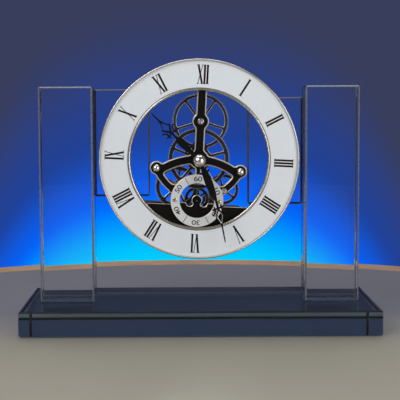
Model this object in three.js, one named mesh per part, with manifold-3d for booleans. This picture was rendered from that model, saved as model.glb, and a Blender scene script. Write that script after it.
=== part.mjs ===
// Crystal table clock: two clear slabs on a tinted base hold a round skeleton dial
// between two glass wings. Millimetres, +X to the right seen from the front,
// front faces -Y, +Z up, origin on the table under the middle of the base.

import * as THREE from 'three';
import { mergeVertices } from 'three/addons/utils/BufferGeometryUtils.js';
import Module from 'manifold-3d';

const wasm = await Module();
wasm.setup();

// Clearances
const RUNNING_GAP = 0.3;
const GLUE_GAP = 0.1;
const PIVOT_GAP = 0.15;

// How far a cutting tool reaches past whatever it cuts
const THROUGH = 60;

// Base block and its feet
const BASE_MARGIN = 11.7;
const BASE_DEPTH = 72;
const BASE_HEIGHT = 18;
const BASE_CHAMFER = 1;
const FOOT_RADIUS = 6;
const FOOT_HEIGHT = 0.8;
const FOOT_INSET = 11;

// Upright slabs and the wings glued between them
const DIAL_TO_SLAB = 3.8;
const SLAB_WIDTH = 40;
const SLAB_THICKNESS = 20;
const SLAB_HEIGHT = 161;
const GLASS_CHAMFER = 1;
const WING_TO_PILLAR = 5.8;
const WING_THICKNESS = 8;
const WING_HEIGHT = 81;
const WING_CHAMFER = 0.6;
const LEFT_WING_DROP = 2;
const RIGHT_WING_DROP = 8.5;

// Dial, turned a little clockwise as it was glued in
const OPENING_RADIUS = 51.2;
const DIAL_RING_WIDTH = 23.8;
const DIAL_DROP = 54.5;
const DIAL_TURN = 3;
const CARRIER_DEPTH = 6;
const CHAPTER_THICKNESS = 1.5;
const BEZEL_WALL = 2;
const BEZEL_OVERLAP = 0.8;
const BEZEL_RISE = 2;
const INNER_BEZEL_WALL = 0.9;
const INNER_BEZEL_LIP = 1.2;
const INNER_BEZEL_RISE = 1.3;
const RING_SEGMENTS = 60;

// Front bridge: an arm from the top, two curved arms, two lower arms and a ring
const BRIDGE_THICKNESS = 2;
const BRIDGE_SEAT = 3;
const TOP_ARM_WIDTH = 7.2;
const CURVED_ARM_RADIUS = 49;
const CURVED_ARM_WIDTH = 6.9;
const CURVED_ARM_DROP = 0.4;
const HUB_RADIUS = 7.4;
const LINK_WIDTH = 4.4;
const PILLAR_X = 31.4;
const PILLAR_Z = -7.95;
const PILLAR_BOSS_RADIUS = 5.1;
const PILLAR_RADIUS = 2.2;
const BALL_NUT_RADIUS = 2.8;
const TOP_BOSS_RADIUS = 6.2;
const RING_BACK_INSET = 0.5;
const LOWER_ARM_WIDTH = 5.8;
const LOWER_ARM_BEND_IN = 3.9;
const LOWER_ARM_BEND_DROP = 9.6;
const LOWER_ARM_END_X = 15.5;
const LOWER_ARM_END_RISE = 5.2;
const LOWER_ARM_FOOT_RISE = 11.7;
const LOWER_ARM_FOOT_X = 21;

// Seconds ring and the plate behind it
const SECONDS_RING_TO_BEZEL = 0.2;
const SECONDS_RING_OUTER = 19.8;
const SECONDS_RING_INNER = 13;
const SECONDS_RING_THICKNESS = 1;
const RING_SCREW_X = 16.6;
const RING_SCREW_HEAD_RADIUS = 1.6;
const RING_SCREW_SHANK_RADIUS = 0.7;
const BOTTOM_PLATE_THICKNESS = 2;
const BOTTOM_PLATE_EDGE_DROP = 3.8;
const BOTTOM_PLATE_RAISED_DROP = 2;
const BOTTOM_PLATE_SEAT = 6;
const SECONDS_BOSS_RADIUS = 3.9;
const SCREW_BOSS_WALL = 1.6;
const BAY_RADIUS = 2.7;
const BAY_X = 5.2;
const BAY_DROP = 2;
const POST_RADIUS = 2.4;
const POST_TO_CARRIER = 0.7;
const POST_ANGLES = [-56.6, -71.6, -103.8, -124.8];

// Gear train: teeth and modules. Every turn of the minute hand is 60 of the seconds hand.
const CENTRE_TEETH = 120;
const THIRD_PINION_TEETH = 22;
const THIRD_TEETH = 66;
const SECONDS_PINION_TEETH = 6;
const SECONDS_TEETH = 48;
const RIGHT_TEETH = 60;
const TOP_PINION_TEETH = 27;
const TOP_TEETH = 80;
const DRIVE_PINION_TEETH = 8;
const INTERMEDIATE_TEETH = 30;
const ROTOR_PINION_TEETH = 6;
const CANNON_TEETH = 10;
const MOTION_WHEEL_TEETH = 30;
const MOTION_PINION_TEETH = 8;
const HOUR_TEETH = 32;
const CENTRE_MODULE = 0.3845;
const THIRD_MODULE = 0.4972;
const SECONDS_MODULE = 0.4;
const TOP_MODULE = 0.53;
const ROTOR_MODULE = 0.25;
const MOTION_MODULE = 0.4;
const ADDENDUM = 0.65;
const DEDENDUM = 1.35;
const TIP_SHARE = 0.08;
const RIGHT_ANGLE = 22.17;
const FINE_TEETH = 30;

// Wheels, arbors and the layers that they run in, from the front to the back
const WHEEL_THICKNESS = 1;
const MOTION_THICKNESS = 0.8;
const TRAIN_PITCH = 3;
const TRAIN_START = 1;
const SPOKES = 5;
const ARBOR_RADIUS = 1.2;
const PIVOT_RADIUS = 0.55;
const COLLAR_RADIUS = 2.4;
const REAR_BRIDGE_THICKNESS = 2;
const REAR_ARM_WIDTH = 4.6;
const REAR_ARM_BEND_IN = 4.9;
const REAR_ARM_BEND_DROP = 9.05;
const SPINE_WIDTH = 4;
const REAR_BOSS_RADIUS = 3;

// Hands
const HAND_THICKNESS = 0.8;
const HOUR_HAND_STANDOFF = 3.7;
const MINUTE_HAND_STANDOFF = 2.7;
const HOUR_HAND_LENGTH = 49.3;
const MINUTE_HAND_LENGTH = 63.8;
const SECONDS_HAND_LENGTH = 12.2;
const SECONDS_HAND_THICKNESS = 0.5;
const HOUR_HAND_ANGLE = 311.5;
const MINUTE_HAND_ANGLE = 154.3;
const SECONDS_HAND_ANGLE = 183;
const HAND_BAR = 1.1;
const MINUTE_BEND_FROM = 30;
const MINUTE_BEND_SLOPE = 0.125;
const MINUTE_BEND_GROWTH = 0.0016;
const HOUR_PIPE_RADIUS = 2.6;
const HOUR_PIPE_BORE = 1.75;
const HOUR_SEAT_RADIUS = 2.15;
const SECONDS_SEAT_RADIUS = 0.35;
const SEAT_GAP = 0.15;
const CANNON_RADIUS = 1.45;
const CANNON_BORE = 1;
const CENTRE_TIP_RADIUS = 0.7;
const CAP_RADIUS = 4.7;
const CAP_COLLAR_RADIUS = 2.2;
const CAP_COLLAR_HEIGHT = 1;
const KNOB_RADIUS = 6;
const KNOB_DEPTH = 6;
const KNOB_FLUTES = 16;

// Motor behind the bottom plate
const MOTOR_GAP = 1;
const MOTOR_DEPTH = 9;
const MOTOR_WALL = 1.2;
const MOTOR_LEFT = 5.05;
const MOTOR_SHOULDER = 19;
const MOTOR_RIGHT = 34;
const MOTOR_RISE = 1.6;
const MOTOR_STEP_DROP = 5.2;
const MOTOR_DROP = 24.8;
const DRIVE_ANGLE = -20;
const ROTOR_ANGLE = -60;
const MAGNET_RADIUS = 2.4;
const MAGNET_LENGTH = 2;
const ROTOR_SHAFT_RADIUS = 0.4;
const STATOR_THICKNESS = 1.2;
const STATOR_HOLE_GAP = 0.5;
const STATOR_POLE = 0.8;
const STATOR_BAR = 3;
const COIL_RADIUS = 3.3;
const COIL_LENGTH = 13;
const BOARD_THICKNESS = 0.8;
const CAN_RADIUS = 1;
const CAN_LENGTH = 6;

// Battery tray beside the motor, for one AA cell
const CELL_RADIUS = 7.25;
const CELL_LENGTH = 50.5;
const CELL_NUB_RADIUS = 2.6;
const CELL_NUB_LENGTH = 1.4;
const TRAY_WALL = 1.2;
const TRAY_DROP = 6.8;
const TRAY_RIGHT = 4.6;
const TRAY_CORNER = 4;
const CELL_PLAY = 0.25;
const CONTACT_THICKNESS = 0.4;
const SPRING_LENGTH = 2.9;
const COVER_THICKNESS = 1.2;
const COVER_FLANGE = 6;

// Places that follow from the sizes above
const DIAL_RADIUS = OPENING_RADIUS + DIAL_RING_WIDTH;
const SLAB_SPACING = 2 * (DIAL_RADIUS + DIAL_TO_SLAB);
const BASE_WIDTH = SLAB_SPACING + 2 * (SLAB_WIDTH + BASE_MARGIN);
const BASE_TOP = FOOT_HEIGHT + BASE_HEIGHT;
const SLAB_BOTTOM = BASE_TOP + GLUE_GAP;
const SLAB_TOP = SLAB_BOTTOM + SLAB_HEIGHT;
const SLAB_INNER_X = SLAB_SPACING / 2;
const WING_WIDTH = SLAB_INNER_X - GLUE_GAP - PILLAR_X - WING_TO_PILLAR;
const WING_FRONT = SLAB_THICKNESS / 2 - WING_THICKNESS;
const DIAL_CENTRE_Z = SLAB_TOP - DIAL_DROP;
const CARRIER_FRONT = WING_FRONT - CARRIER_DEPTH;
const CHAPTER_FRONT = CARRIER_FRONT - CHAPTER_THICKNESS;
const BRIDGE_FRONT = CARRIER_FRONT;
const BRIDGE_REAR = BRIDGE_FRONT + BRIDGE_THICKNESS;
const PLATE_REAR = BRIDGE_REAR + BOTTOM_PLATE_THICKNESS;
const RING_FRONT = BRIDGE_FRONT - SECONDS_RING_THICKNESS;
const HOUR_WHEEL_FRONT = BRIDGE_REAR + RUNNING_GAP;
const HOUR_WHEEL_REAR = HOUR_WHEEL_FRONT + MOTION_THICKNESS;
const CANNON_FRONT = HOUR_WHEEL_REAR + RUNNING_GAP;
const CANNON_REAR = CANNON_FRONT + MOTION_THICKNESS;
const LAYER_ONE = PLATE_REAR + TRAIN_START;
const LAYER_TWO = LAYER_ONE + TRAIN_PITCH;
const LAYER_THREE = LAYER_TWO + TRAIN_PITCH;
const REAR_BRIDGE_FRONT = LAYER_THREE + TRAIN_PITCH;
const REAR_BRIDGE_REAR = REAR_BRIDGE_FRONT + REAR_BRIDGE_THICKNESS;
const HOUR_HAND_REAR = CHAPTER_FRONT - INNER_BEZEL_RISE - HOUR_HAND_STANDOFF;
const HOUR_HAND_FRONT = HOUR_HAND_REAR - HAND_THICKNESS;
const MINUTE_HAND_REAR = HOUR_HAND_FRONT - MINUTE_HAND_STANDOFF;
const MINUTE_HAND_FRONT = MINUTE_HAND_REAR - HAND_THICKNESS;
const MOTOR_FRONT = LAYER_THREE + WHEEL_THICKNESS + MOTOR_GAP;
const MOTOR_REAR = MOTOR_FRONT + MOTOR_DEPTH;
const SECONDS_HAND_REAR = BRIDGE_FRONT - RUNNING_GAP;
const CARRIER_INNER = OPENING_RADIUS + INNER_BEZEL_WALL + RUNNING_GAP;
const CARRIER_OUTER = DIAL_RADIUS - BEZEL_WALL - RUNNING_GAP;
const BRIDGE_REACH = CARRIER_INNER + BRIDGE_SEAT;
const BOTTOM_PLATE_RADIUS = CARRIER_INNER + BOTTOM_PLATE_SEAT;
const ARM_CENTRE_Z = -CURVED_ARM_RADIUS - CURVED_ARM_DROP;
const RING_BACK_OUTER = SECONDS_RING_OUTER - RING_BACK_INSET;
const RING_BACK_INNER = SECONDS_RING_INNER + RING_BACK_INSET;
const SECONDS_AXIS_Z = -(OPENING_RADIUS - SECONDS_RING_TO_BEZEL - SECONDS_RING_OUTER);
const BOTTOM_PLATE_EDGE_Z = SECONDS_AXIS_Z - BOTTOM_PLATE_EDGE_DROP;
const BOTTOM_PLATE_RAISED_Z = SECONDS_AXIS_Z - BOTTOM_PLATE_RAISED_DROP;
const BAY_Z = SECONDS_AXIS_Z - BAY_DROP;
const MOTOR_TOP = SECONDS_AXIS_Z + MOTOR_RISE;
const MOTOR_STEP_Z = SECONDS_AXIS_Z - MOTOR_STEP_DROP;
const MOTOR_BOTTOM = SECONDS_AXIS_Z - MOTOR_DROP;
const TRAY_TOP = SECONDS_AXIS_Z - TRAY_DROP;

// Shop floor: outlines in the dial's plane, solids and materials
const radians = (degrees) => (degrees * Math.PI) / 180;

function polar(radius, angle, x = 0, z = 0) {
  return new THREE.Vector2(x + radius * Math.cos(angle), z + radius * Math.sin(angle));
}

function arc(x, z, radius, startAngle, endAngle, steps) {
  const points = [];
  for (let k = 0; k <= steps; k += 1) {
    points.push(polar(radius, startAngle + ((endAngle - startAngle) * k) / steps, x, z));
  }
  return points;
}

function circle(radius, x = 0, z = 0, sides = 16) {
  return arc(x, z, radius, 0, 2 * Math.PI, sides).slice(0, sides);
}

function rectangle(left, right, bottom, top) {
  return [
    new THREE.Vector2(left, bottom),
    new THREE.Vector2(right, bottom),
    new THREE.Vector2(right, top),
    new THREE.Vector2(left, top),
  ];
}

function outline(pairs) {
  return pairs.map(([x, z]) => new THREE.Vector2(x, z));
}

// A strip of even width along a line of points
function ribbon(line, width) {
  const left = [];
  const right = [];
  line.forEach((point, k) => {
    const before = line[Math.max(k - 1, 0)];
    const after = line[Math.min(k + 1, line.length - 1)];
    const along = after.clone().sub(before).normalize();
    const across = new THREE.Vector2(-along.y, along.x).multiplyScalar(width / 2);
    left.push(point.clone().add(across));
    right.push(point.clone().sub(across));
  });
  return left.concat(right.reverse());
}

// Turns a geometry into a closed solid whose faces point out
function solidOf(geometry) {
  const bare = geometry.clone();
  bare.deleteAttribute('normal');
  bare.deleteAttribute('uv');
  const merged = mergeVertices(bare);
  const places = merged.attributes.position.array;
  const corners = Array.from(merged.index.array);
  const triangles = [];
  let volume = 0;
  for (let k = 0; k < corners.length; k += 3) {
    const [a, b, c] = corners.slice(k, k + 3);
    if (a === b || b === c || c === a) continue;
    triangles.push(a, b, c);
    const [p, q, r] = [a, b, c].map((n) => new THREE.Vector3().fromArray(places, n * 3));
    volume += p.dot(q.cross(r));
  }
  if (volume < 0) triangles.reverse();
  return new wasm.Manifold(
    new wasm.Mesh({
      numProp: 3,
      vertProperties: new Float32Array(places),
      triVerts: new Uint32Array(triangles),
    }),
  );
}

// A flat piece in the dial's plane between two depths
function plate(points, rear, front, holes = []) {
  const shape = new THREE.Shape(points);
  shape.holes = holes.map((hole) => new THREE.Path(hole));
  const geometry = new THREE.ExtrudeGeometry(shape, {
    depth: rear - front,
    bevelEnabled: false,
    steps: 1,
  });
  geometry.rotateX(Math.PI / 2);
  geometry.translate(0, rear, 0);
  return solidOf(geometry);
}

function disc(radius, rear, front, x = 0, z = 0, sides = 16) {
  return plate(circle(radius, x, z, sides), rear, front);
}

function drill(radius, x = 0, z = 0, sides = 12) {
  return disc(radius, THROUGH, -THROUGH, x, z, sides);
}

function ring(outer, inner, rear, front, x = 0, z = 0, sides = RING_SEGMENTS) {
  return plate(circle(outer, x, z, sides), rear, front, [circle(inner, x, z, sides)]);
}

// A turned piece: pairs of radius and depth, revolved about the dial's axis
function turned(profile, sides = 16) {
  const points = profile.map(([radius, depth]) => new THREE.Vector2(radius, depth));
  return solidOf(new THREE.LatheGeometry(points, sides));
}

// A turned ring, whose profile closes on itself
function turnedRing(profile, sides = RING_SEGMENTS) {
  return turned([...profile, profile[0]], sides);
}

function boxSolid(low, high) {
  const [x0, y0, z0] = low;
  const [x1, y1, z1] = high;
  const geometry = new THREE.BoxGeometry(x1 - x0, y1 - y0, z1 - z0);
  geometry.translate((x0 + x1) / 2, (y0 + y1) / 2, (z0 + z1) / 2);
  return solidOf(geometry);
}

// A glass block with all its edges chamfered, standing on z = 0
function glassBlock(width, depth, height, chamfer) {
  const x = width / 2 - chamfer;
  const y = depth / 2 - chamfer;
  const cut = chamfer;
  const shape = new THREE.Shape(outline([
    [-x, -y + cut], [-x + cut, -y], [x - cut, -y], [x, -y + cut],
    [x, y - cut], [x - cut, y], [-x + cut, y], [-x, y - cut],
  ]));
  const geometry = new THREE.ExtrudeGeometry(shape, {
    depth: height - 2 * chamfer,
    steps: 1,
    bevelThickness: chamfer,
    bevelSize: chamfer,
    bevelSegments: 1,
  });
  geometry.translate(0, 0, chamfer);
  return solidOf(geometry);
}

function join(solids) {
  return solids.reduce((whole, next) => whole.add(next));
}

function cut(solid, tools) {
  return tools.reduce((left, tool) => left.subtract(tool), solid);
}

function finish(colour, roughness, metalness, opacity = 1) {
  return new THREE.MeshStandardMaterial({
    color: colour,
    roughness,
    metalness,
    opacity,
    transparent: opacity < 1,
  });
}

const CLEAR_GLASS = finish(0xe8f1f2, 0.02, 0, 0.35);
const TINTED_GLASS = finish(0x2f3a4c, 0.04, 0, 0.85);
const CLEAR_RUBBER = finish(0xdfe3e0, 0.5, 0, 0.6);
const DIAL_WHITE = finish(0xdfe4e6, 0.55, 0);
const CHAMPAGNE = finish(0xd8cdb8, 0.22, 1);
const BLACK_LACQUER = finish(0x0c0c0e, 0.3, 0.4);
const BLACK_PLASTIC = finish(0x121214, 0.5, 0);
const BRUSHED_SILVER = finish(0xc4c8ca, 0.35, 1);
const CHROME = finish(0xd9dadb, 0.06, 1);
const BRASS = finish(0xc9a25a, 0.25, 1);
const STEEL = finish(0xa9abac, 0.25, 1);
const DARK_WHEEL = finish(0x1c1a18, 0.35, 0.7);
const COPPER = finish(0xb5643a, 0.35, 1);
const BOARD_GREEN = finish(0x1d5a36, 0.55, 0);
const CELL_WRAP = finish(0x3d5f8c, 0.35, 0.2);

const clock = new THREE.Group();
const dial = new THREE.Group();
dial.position.set(0, 0, DIAL_CENTRE_Z);
dial.rotation.y = radians(DIAL_TURN);
clock.add(dial);

// Names a finished solid and places it in the clock or in the turned dial
function place(parent, name, solid, material, x = 0, z = 0, turn = 0) {
  const { vertProperties, triVerts } = solid.getMesh();
  const geometry = new THREE.BufferGeometry();
  geometry.setAttribute('position', new THREE.Float32BufferAttribute(vertProperties, 3));
  geometry.setIndex(new THREE.Uint32BufferAttribute(triVerts, 1));
  geometry.computeVertexNormals();
  const mesh = new THREE.Mesh(geometry, material);
  mesh.name = name;
  mesh.position.set(x, 0, z);
  mesh.rotation.y = radians(turn);
  parent.add(mesh);
}

// Gears: straight-flanked teeth, flat-topped on the pinions and pointed on the fine wheels
function toothedEdge(teeth, module, phase) {
  const pitchRadius = (teeth * module) / 2;
  const tip = pitchRadius + ADDENDUM * module;
  const root = pitchRadius - DEDENDUM * module;
  const half = Math.PI / teeth;
  const points = [];
  for (let k = 0; k < teeth; k += 1) {
    const middle = phase + 2 * half * k;
    points.push(polar(root, middle - half));
    if (teeth >= FINE_TEETH) {
      points.push(polar(tip, middle));
    } else {
      points.push(polar(tip, middle - half * 2 * TIP_SHARE));
      points.push(polar(tip, middle + half * 2 * TIP_SHARE));
    }
  }
  return points;
}

// Windows between the spokes of a wheel
function spokeWindows(inner, outer, spokeWidth, firstSpoke, count = SPOKES) {
  const windows = [];
  for (let k = 0; k < count; k += 1) {
    const from = firstSpoke + (2 * Math.PI * k) / count;
    const to = from + (2 * Math.PI) / count;
    const outerTrim = Math.asin(spokeWidth / 2 / outer);
    const innerTrim = Math.asin(spokeWidth / 2 / inner);
    windows.push([
      ...arc(0, 0, outer, from + outerTrim, to - outerTrim, 5),
      ...arc(0, 0, inner, to - innerTrim, from + innerTrim, 2),
    ]);
  }
  return windows;
}

function spokedWheel(teeth, module, phase, layer, rim, hub, spokeWidth, spokeAngle) {
  const rimInner = (teeth * module) / 2 - rim;
  const holes = spokeWindows(hub, rimInner, spokeWidth, radians(spokeAngle));
  holes.push(circle(ARBOR_RADIUS + RUNNING_GAP));
  return plate(toothedEdge(teeth, module, phase), layer + WHEEL_THICKNESS, layer, holes);
}

function pinion(teeth, module, phase, rear, front, bore = 0) {
  const holes = bore > 0 ? [circle(bore)] : [];
  return plate(toothedEdge(teeth, module, phase), rear, front, holes);
}

function pitchDistance(teethA, teethB, module) {
  return ((teethA + teethB) * module) / 2;
}

// The phase at which gear B's gap meets gear A's tooth on the line from A to B
function meshPhase(phaseA, teethA, angleToB, teethB) {
  return angleToB + Math.PI - (teethA / teethB) * (phaseA - angleToB) + Math.PI / teethB;
}

// Where the axes lie in the dial's plane
const CENTRE = new THREE.Vector2(0, 0);
const SECONDS = new THREE.Vector2(0, SECONDS_AXIS_Z);
const THIRD = (() => {
  const fromCentre = pitchDistance(CENTRE_TEETH, THIRD_PINION_TEETH, CENTRE_MODULE);
  const fromSeconds = pitchDistance(THIRD_TEETH, SECONDS_PINION_TEETH, THIRD_MODULE);
  const down = (fromCentre ** 2 - fromSeconds ** 2 + SECONDS_AXIS_Z ** 2) / (2 * -SECONDS_AXIS_Z);
  return new THREE.Vector2(-Math.sqrt(fromCentre ** 2 - down ** 2), -down);
})();
const TOP = new THREE.Vector2(0, pitchDistance(CENTRE_TEETH, TOP_PINION_TEETH, CENTRE_MODULE));
const RIGHT = polar(
  pitchDistance(SECONDS_TEETH, RIGHT_TEETH, SECONDS_MODULE), radians(RIGHT_ANGLE),
  0, SECONDS_AXIS_Z,
);
const DRIVE = polar(
  pitchDistance(SECONDS_TEETH, DRIVE_PINION_TEETH, SECONDS_MODULE),
  radians(DRIVE_ANGLE), 0, SECONDS_AXIS_Z,
);
const ROTOR = polar(
  pitchDistance(INTERMEDIATE_TEETH, ROTOR_PINION_TEETH, ROTOR_MODULE),
  radians(ROTOR_ANGLE), DRIVE.x, DRIVE.y,
);
const MOTION = new THREE.Vector2(
  0, pitchDistance(CANNON_TEETH, MOTION_WHEEL_TEETH, MOTION_MODULE),
);

const angleFrom = (a, b) => Math.atan2(b.y - a.y, b.x - a.x);

// Base and feet
place(clock, 'base_block', glassBlock(BASE_WIDTH, BASE_DEPTH, BASE_HEIGHT, BASE_CHAMFER)
  .translate([0, 0, FOOT_HEIGHT]), TINTED_GLASS);

for (const [end, x] of [['left', -1], ['right', 1]]) {
  for (const [side, y] of [['front', -1], ['back', 1]]) {
    const foot = new THREE.CylinderGeometry(FOOT_RADIUS * 0.92, FOOT_RADIUS, FOOT_HEIGHT, 18);
    foot.rotateX(-Math.PI / 2);
    foot.translate(
      x * (BASE_WIDTH / 2 - FOOT_INSET), y * (BASE_DEPTH / 2 - FOOT_INSET), FOOT_HEIGHT / 2,
    );
    place(clock, `foot_${side}_${end}`, solidOf(foot), CLEAR_RUBBER);
  }
}

// Upright slabs, and the wings flush with their backs
for (const [side, x, drop] of [['left', -1, LEFT_WING_DROP], ['right', 1, RIGHT_WING_DROP]]) {
  const slab = glassBlock(SLAB_WIDTH, SLAB_THICKNESS, SLAB_HEIGHT, GLASS_CHAMFER);
  place(clock, `${side}_slab`, slab.translate([
    x * (SLAB_INNER_X + SLAB_WIDTH / 2), 0, SLAB_BOTTOM,
  ]), CLEAR_GLASS);
  const wing = glassBlock(WING_WIDTH, WING_THICKNESS, WING_HEIGHT, WING_CHAMFER);
  place(clock, `${side}_wing`, wing.translate([
    x * (SLAB_INNER_X - GLUE_GAP - WING_WIDTH / 2),
    WING_FRONT + WING_THICKNESS / 2,
    SLAB_TOP - drop - WING_HEIGHT,
  ]), CLEAR_GLASS);
}

// Front bridge outline pieces, made once so that the carrier's slots match them
function topArm(width) {
  return rectangle(-width / 2, width / 2, 0, BRIDGE_REACH);
}

function curvedArm(width, steps = 12) {
  const reach = Math.asin(PILLAR_X / CURVED_ARM_RADIUS) + 0.02;
  const up = Math.PI / 2;
  return [
    ...arc(0, ARM_CENTRE_Z, CURVED_ARM_RADIUS + width / 2, up + reach, up - reach, steps),
    ...arc(0, ARM_CENTRE_Z, CURVED_ARM_RADIUS - width / 2, up - reach, up + reach, steps),
  ].reverse();
}

// A lower arm: from the pillar, round a bend, to the ring, with a foot that squares the window
function lowerArm(side) {
  const bend = new THREE.QuadraticBezierCurve(
    new THREE.Vector2(side * PILLAR_X, PILLAR_Z),
    new THREE.Vector2(side * (PILLAR_X - LOWER_ARM_BEND_IN), PILLAR_Z - LOWER_ARM_BEND_DROP),
    new THREE.Vector2(side * LOWER_ARM_END_X, SECONDS_AXIS_Z + LOWER_ARM_END_RISE),
  );
  const foot = [side * (RING_BACK_OUTER - LOWER_ARM_WIDTH), side * LOWER_ARM_FOOT_X]
    .sort((p, q) => p - q);
  return [
    plate(ribbon(bend.getPoints(7), LOWER_ARM_WIDTH), BRIDGE_REAR, BRIDGE_FRONT),
    plate(rectangle(
      foot[0], foot[1], SECONDS_AXIS_Z + LOWER_ARM_END_RISE, SECONDS_AXIS_Z + LOWER_ARM_FOOT_RISE,
    ), BRIDGE_REAR, BRIDGE_FRONT),
  ];
}

const pivotHole = (axis) => drill(PIVOT_RADIUS + PIVOT_GAP, axis.x, axis.y, 10);
const bushHole = (axis, radius) => drill(radius + RUNNING_GAP, axis.x, axis.y);
const TOP_BUSH_RADIUS = 2.4;
const RIGHT_BUSH_RADIUS = 1.2;
const BUSH_FLANGE_RISE = 0.4;
const BUSH_FLANGE = 0.4;
const NUT_STEM_RADIUS = 1;
const MOTION_POST_RADIUS = 0.5;

const bridgeBody = join([
  plate(topArm(TOP_ARM_WIDTH), BRIDGE_REAR, BRIDGE_FRONT),
  plate(rectangle(-LINK_WIDTH / 2, LINK_WIDTH / 2, SECONDS_AXIS_Z + RING_BACK_INNER + 1, 0),
    BRIDGE_REAR, BRIDGE_FRONT),
  plate(curvedArm(CURVED_ARM_WIDTH), BRIDGE_REAR, BRIDGE_FRONT),
  ...lowerArm(-1),
  ...lowerArm(1),
  disc(HUB_RADIUS, BRIDGE_REAR, BRIDGE_FRONT, 0, 0, 24),
  disc(TOP_BOSS_RADIUS, BRIDGE_REAR, BRIDGE_FRONT, TOP.x, TOP.y, 24),
  disc(PILLAR_BOSS_RADIUS, BRIDGE_REAR, BRIDGE_FRONT, -PILLAR_X, PILLAR_Z, 24),
  disc(PILLAR_BOSS_RADIUS, BRIDGE_REAR, BRIDGE_FRONT, PILLAR_X, PILLAR_Z, 24),
  ring(RING_BACK_OUTER, RING_BACK_INNER, BRIDGE_REAR, BRIDGE_FRONT, 0, SECONDS_AXIS_Z, 36),
  disc(MOTION_POST_RADIUS, CANNON_REAR, BRIDGE_FRONT + 1, MOTION.x, MOTION.y, 12),
]);
place(dial, 'front_bridge', cut(bridgeBody, [
  drill(HOUR_PIPE_RADIUS + RUNNING_GAP, 0, 0),
  bushHole(TOP, TOP_BUSH_RADIUS),
  bushHole(RIGHT, RIGHT_BUSH_RADIUS),
  pivotHole(THIRD),
  drill(NUT_STEM_RADIUS + RUNNING_GAP, -PILLAR_X, PILLAR_Z, 10),
  drill(NUT_STEM_RADIUS + RUNNING_GAP, PILLAR_X, PILLAR_Z, 10),
  drill(RING_SCREW_SHANK_RADIUS + RUNNING_GAP, -RING_SCREW_X, SECONDS_AXIS_Z, 10),
  drill(RING_SCREW_SHANK_RADIUS + RUNNING_GAP, RING_SCREW_X, SECONDS_AXIS_Z, 10),
]), BLACK_LACQUER);

// Bushes that the top and right pivots show in
function flangedBush(radius) {
  const bore = PIVOT_RADIUS + PIVOT_GAP;
  return turnedRing([
    [bore, BRIDGE_REAR], [radius, BRIDGE_REAR], [radius, BRIDGE_FRONT],
    [radius + BUSH_FLANGE, BRIDGE_FRONT], [radius + BUSH_FLANGE, BRIDGE_FRONT - BUSH_FLANGE_RISE],
    [bore, BRIDGE_FRONT - BUSH_FLANGE_RISE],
  ], 16);
}
place(dial, 'top_bush', flangedBush(TOP_BUSH_RADIUS), STEEL, TOP.x, TOP.y);
place(dial, 'right_bush', flangedBush(RIGHT_BUSH_RADIUS), STEEL, RIGHT.x, RIGHT.y);

// Bottom plate: the dark crescent, with a boss for the seconds arbor and two bays beside it
const bottomChord = Math.asin(-BOTTOM_PLATE_EDGE_Z / BOTTOM_PLATE_RADIUS);
const crescent = arc(
  0, 0, BOTTOM_PLATE_RADIUS, Math.PI + bottomChord, 2 * Math.PI - bottomChord, 24,
);
const posts = POST_ANGLES.map((angle) => polar(
  CARRIER_INNER - POST_TO_CARRIER - POST_RADIUS, radians(angle),
));
const bottomBody = join([
  plate(crescent, PLATE_REAR, BRIDGE_REAR),
  plate(rectangle(-RING_BACK_INNER, RING_BACK_INNER, BOTTOM_PLATE_EDGE_Z - 3,
    BOTTOM_PLATE_RAISED_Z), PLATE_REAR, BRIDGE_REAR),
  ...posts.map((p) => disc(POST_RADIUS, MOTOR_FRONT, BRIDGE_REAR + 0.5, p.x, p.y, 12)),
  disc(RING_SCREW_SHANK_RADIUS + SCREW_BOSS_WALL, PLATE_REAR, BRIDGE_REAR, -RING_SCREW_X, SECONDS_AXIS_Z),
  disc(RING_SCREW_SHANK_RADIUS + SCREW_BOSS_WALL, PLATE_REAR, BRIDGE_REAR, RING_SCREW_X, SECONDS_AXIS_Z),
  plate(rectangle(-RING_SCREW_X - SCREW_BOSS_WALL, -RING_SCREW_X + SCREW_BOSS_WALL, BOTTOM_PLATE_EDGE_Z - 1,
    SECONDS_AXIS_Z), PLATE_REAR, BRIDGE_REAR),
  plate(rectangle(RING_SCREW_X - SCREW_BOSS_WALL, RING_SCREW_X + SCREW_BOSS_WALL, BOTTOM_PLATE_EDGE_Z - 1,
    SECONDS_AXIS_Z), PLATE_REAR, BRIDGE_REAR),
]);
const bays = [-1, 1].map((side) => join([
  drill(BAY_RADIUS, side * BAY_X, BAY_Z, 20),
  plate(rectangle(side * BAY_X - BAY_RADIUS, side * BAY_X + BAY_RADIUS, BAY_Z, BAY_Z + 5),
    THROUGH, -THROUGH),
]));
const neck = disc(SECONDS_BOSS_RADIUS, PLATE_REAR, BRIDGE_REAR, 0, SECONDS_AXIS_Z, 24);
place(dial, 'bottom_plate', cut(cut(bottomBody, bays).add(neck), [
  pivotHole(SECONDS),
  pivotHole(DRIVE),
  drill(RING_SCREW_SHANK_RADIUS + RUNNING_GAP, -RING_SCREW_X, SECONDS_AXIS_Z, 10),
  drill(RING_SCREW_SHANK_RADIUS + RUNNING_GAP, RING_SCREW_X, SECONDS_AXIS_Z, 10),
]), BLACK_LACQUER);

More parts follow.
